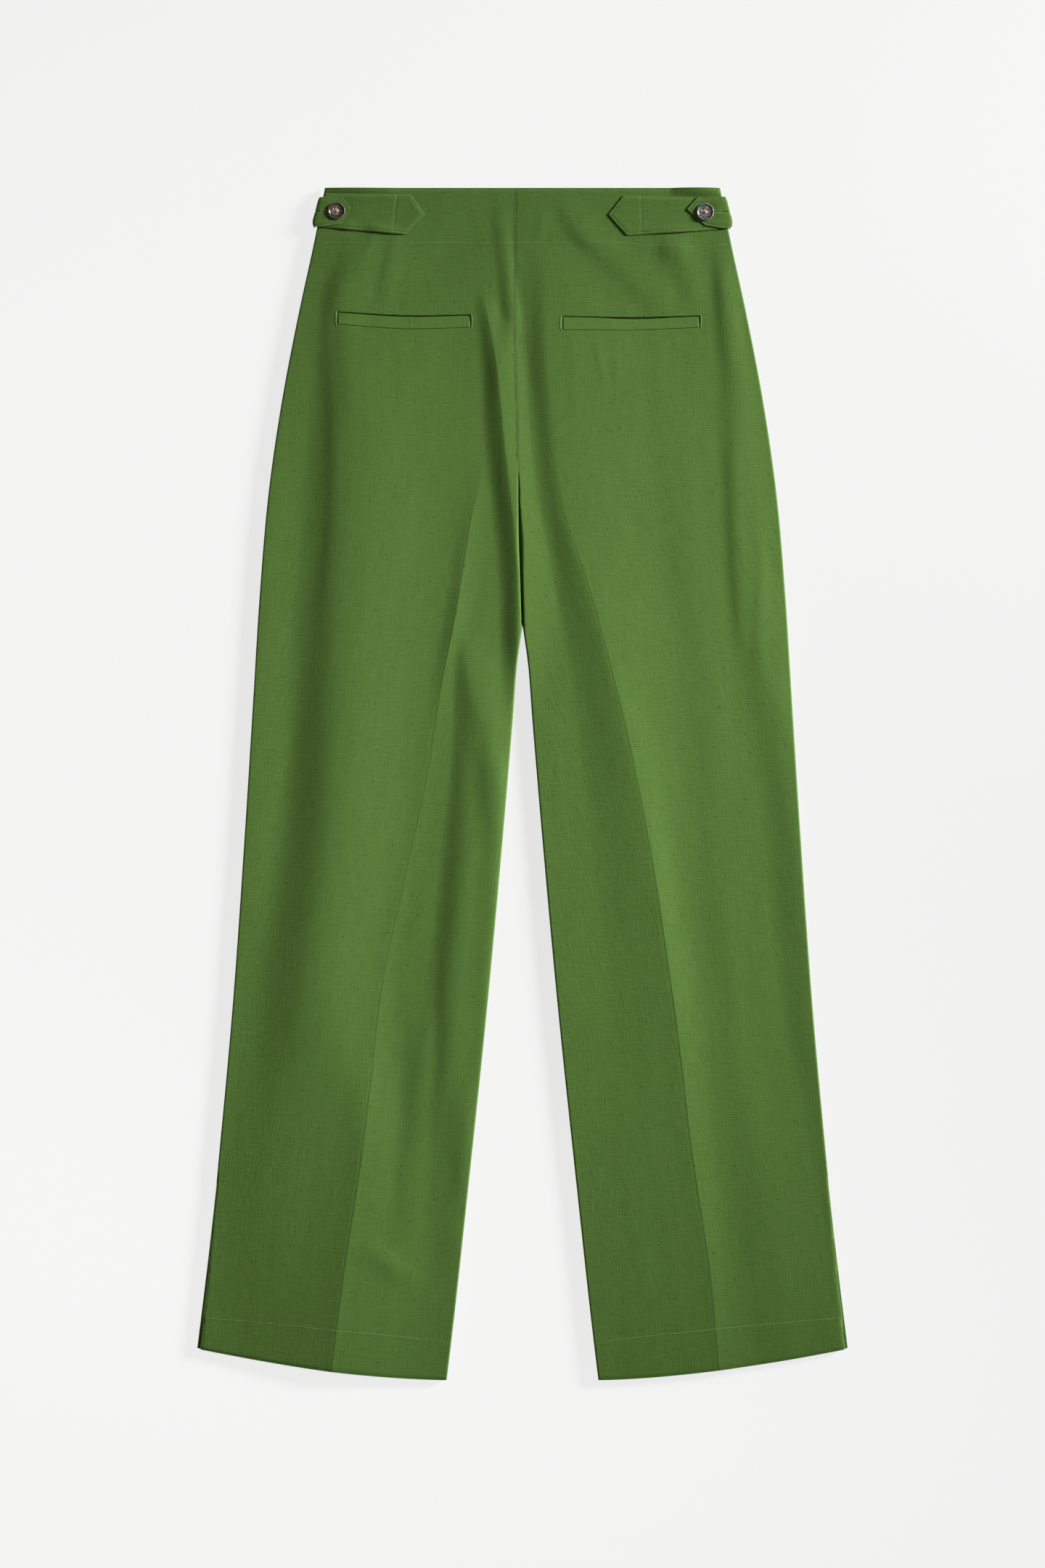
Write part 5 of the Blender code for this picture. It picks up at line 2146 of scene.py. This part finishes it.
@dataclass
class TrouserSide:
    """Everything on one side of the garment, built from the surface up."""

    side: Side
    form: LaidBack
    crease: PressedCrease
    finishes: dict[str, Material]
    facing_depth: float = 0.050  # depth of the waist facing
    facing_clear: tuple[float, float] = (0.0015, 0.0020)  # its stitches end this far from the seams
    facing_points: int = 40
    hem_clear: float = 0.0020  # and those of the hem this far from the inseam
    hem_end: float = 0.2955
    hem_points: int = 60
    centre_run: tuple[float, float] = (0.548, 0.300)  # stretch of the centre back seam whose thread shows
    centre_offset: float = -0.0006
    tack_reach: float = 0.0010  # width of the bar tacks at the ends of a welt
    tack_out: tuple[float, float] = (0.0018, 0.0010)  # how far from its end their backs and their ends lie
    tack_rise: tuple[float, ...] = (-0.0006, 0.0012, -0.0012, 0.0008)  # two corners over each edge
    strip_pitch: float = 0.0020  # the stitches of the straps and tabs are closer together
    hole_half_width: float = 0.0008
    hole_reach: float = 0.0011  # length of the stitches round a buttonhole

    def sewing(self, piece: str, seed: int, *on: Object, **sizes: float) -> Stitching:
        """Start the stitches of a piece.

        Args:
            piece: The name of the stitches.
            seed: Where their run of chance starts.
            *on: What they lie on.
            **sizes: The stitches' own sizes.

        Returns:
            The stitching, without stitches.
        """
        return Stitching(piece, Support(*on), seed=seed + self.side.value, **sizes)

    def sew_seams(self, panel: BackPanel) -> list[Object]:
        """Sew the waist facing and the hem of a back panel, and on the left also the centre back seam.

        Args:
            panel: The panel.

        Returns:
            The stitches.
        """
        outline = self.form.outline
        sign = self.side.value
        seams = self.sewing(f"{panel.name}_stitches", 31, panel.piece)
        level = outline.waist_y - self.facing_depth
        inner = outline.inner_x(self.side, level) + sign * self.facing_clear[0]
        outer = outline.outer_x(self.side, level) - sign * self.facing_clear[1]
        x = np.linspace(inner, outer, self.facing_points)
        seams.run(np.stack([x, FACING_LINE[self.side].at("y", np.abs(x))], axis=1))
        level = outline.hem_y + outline.turning
        inner = outline.inner_x(self.side, level) + sign * self.hem_clear
        x = np.linspace(inner, sign * self.hem_end, self.hem_points)
        seams.run(np.stack([x, outline.row_y(x, level)], axis=1))
        sewn = [seams.build(self.finishes["thread"])]
        if self.side is Side.LEFT:
            # The centre back stitches get a thread painted dark: painted shade for the seam's sunken needle
            # holes.
            centre = self.sewing("centre_back_stitches", 72, panel.piece, pitch=0.0030, width=0.0009)
            y = np.linspace(*self.centre_run, self.hem_points)
            centre.run(np.stack([outline.centre_back.at("x", y) + self.centre_offset, y], axis=1))
            sewn.append(centre.build(self.finishes["seam_thread_painted_shade"]))
        return sewn

    def sew_tacks(self, welt: PocketWelt, back: BackPanel) -> Object:
        """Close each end of a welt with a bar tack in the shape of a D.

        Args:
            welt: The welt.
            back: The panel that it's set into.

        Returns:
            The tacks.
        """
        tacks = self.sewing(f"{welt.node}_tacks", 41, welt.piece, back.piece)
        rows = WELTS[self.side].rows
        for (end, top, bottom, _), outward in ((rows[0], -1), (rows[-1], 1)):
            far, near = (end + outward * out for out in self.tack_out)
            places = zip((near, far, far, near), (bottom, bottom, top, top), self.tack_rise)
            corners = [Point(place, edge + rise) for place, edge, rise in places]
            for start, stop in zip(corners, corners[1:]):
                tacks.satin(start, stop, self.tack_reach)
        return tacks.build(self.finishes["thread"])

    def sew_strap(self, strap: AdjusterStrap) -> Object:
        """Topstitch a strap and sew it down across its middle.

        Args:
            strap: The strap.

        Returns:
            The stitches.
        """
        sewing = self.sewing(f"{strap.node}_stitches", 51, strap.piece, pitch=self.strip_pitch)
        sewing.run(strap.stitch_path())
        sewing.run(np.array(strap.line))
        return sewing.build(self.finishes["thread"])

    def sew_tab(self, tab: AdjusterTab) -> Object:
        """Topstitch a tab and sew round its buttonhole.

        Args:
            tab: The tab.

        Returns:
            The stitches.
        """
        sewing = self.sewing(f"{tab.node}_stitches", 61, tab.piece, pitch=self.strip_pitch)
        sewing.run(tab.stitch_path())
        near, far = sorted(tab.line)
        for aside in (-self.hole_half_width, self.hole_half_width):
            sewing.satin(Point(near.x, near.y + aside), Point(far.x, far.y + aside), self.hole_reach)
        return sewing.build(self.finishes["thread"])

    def build(self) -> list[Object]:
        """Build and dress the panels, the welt, the strap, the tab, the button and their stitches.

        Returns:
            Every piece, in the order in which it was built.
        """
        side = self.side
        finishes = self.finishes
        front = FrontPanel(side, self.form, self.crease)
        front.build()
        front.dress(finishes["front"], "floor")
        back = BackPanel(side, self.form, self.crease)
        on_back = back.build()
        seams = self.sew_seams(back)
        back.dress(finishes["back"], front.name, *seams)
        welt = PocketWelt(side)
        welt.build(on_back)
        tacks = self.sew_tacks(welt, back)
        welt.dress(finishes["trim"], back.name, tacks)
        strap = AdjusterStrap(side, STRAPS[side], CROSS_STITCHES[side], lifts=STRAP_LIFTS[side])
        strap.build(on_back)
        strap_stitches = self.sew_strap(strap)
        strap.dress(finishes["trim"], back.name, strap_stitches)
        tab = AdjusterTab(side, TABS[side], BUTTON_HOLES[side])
        tab.build(on_back, self.form.outline.side_seam)
        tab_stitches = self.sew_tab(tab)
        tab.dress(finishes["trim"], strap.name, tab_stitches)
        button = HornButton(side).build(finishes[f"horn_{side.word}"], finishes["button_thread"])
        pieces = [front.piece, back.piece, *seams, welt.piece, tacks]
        return [*pieces, strap.piece, strap_stitches, tab.piece, tab_stitches, *button]


def main() -> None:
    """Build the studio, then each side of the garment from the surface up."""
    logging.basicConfig(level=logging.INFO, format="%(name)s: %(message)s")
    Studio().build()
    finishes = {
        "back": LinenBlend("linen_blend_plain_weave_back").build(),
        "front": LinenBlend("linen_blend_plain_weave_front").build(),
        "trim": LinenBlend("linen_blend_plain_weave_trim").build(),
        "thread": SewingThread("polyester_thread_leaf_green", "#7e9e5a").build(),
        # The dark green of the centre back stitches is painted shade, standing in for the shadow in the
        # seam's needle holes.
        "seam_thread_painted_shade": SewingThread("dark_thread_painted_seam_shade", "#2c4118").build(),
        "button_thread": SewingThread("polyester_thread_cream", "#c9bba2").build(),
        "horn_left": HornResin("cast_horn_resin_brown", "#2a1f19", "#6a574a", (4.0, 9.0, 0.0)).build(),
        "horn_right": HornResin("cast_horn_resin_smoke", "#34323a", "#8a8690", (31.0, 12.0, 0.0)).build(),
    }
    form = LaidBack()
    for side, crease in ((Side.LEFT, LEFT_CREASE), (Side.RIGHT, RIGHT_CREASE)):
        for piece in TrouserSide(side, form, crease, finishes).build():
            LOG.info("%s: %d faces", piece.name, len(piece.data.polygons))


if __name__ == "__main__":
    main()
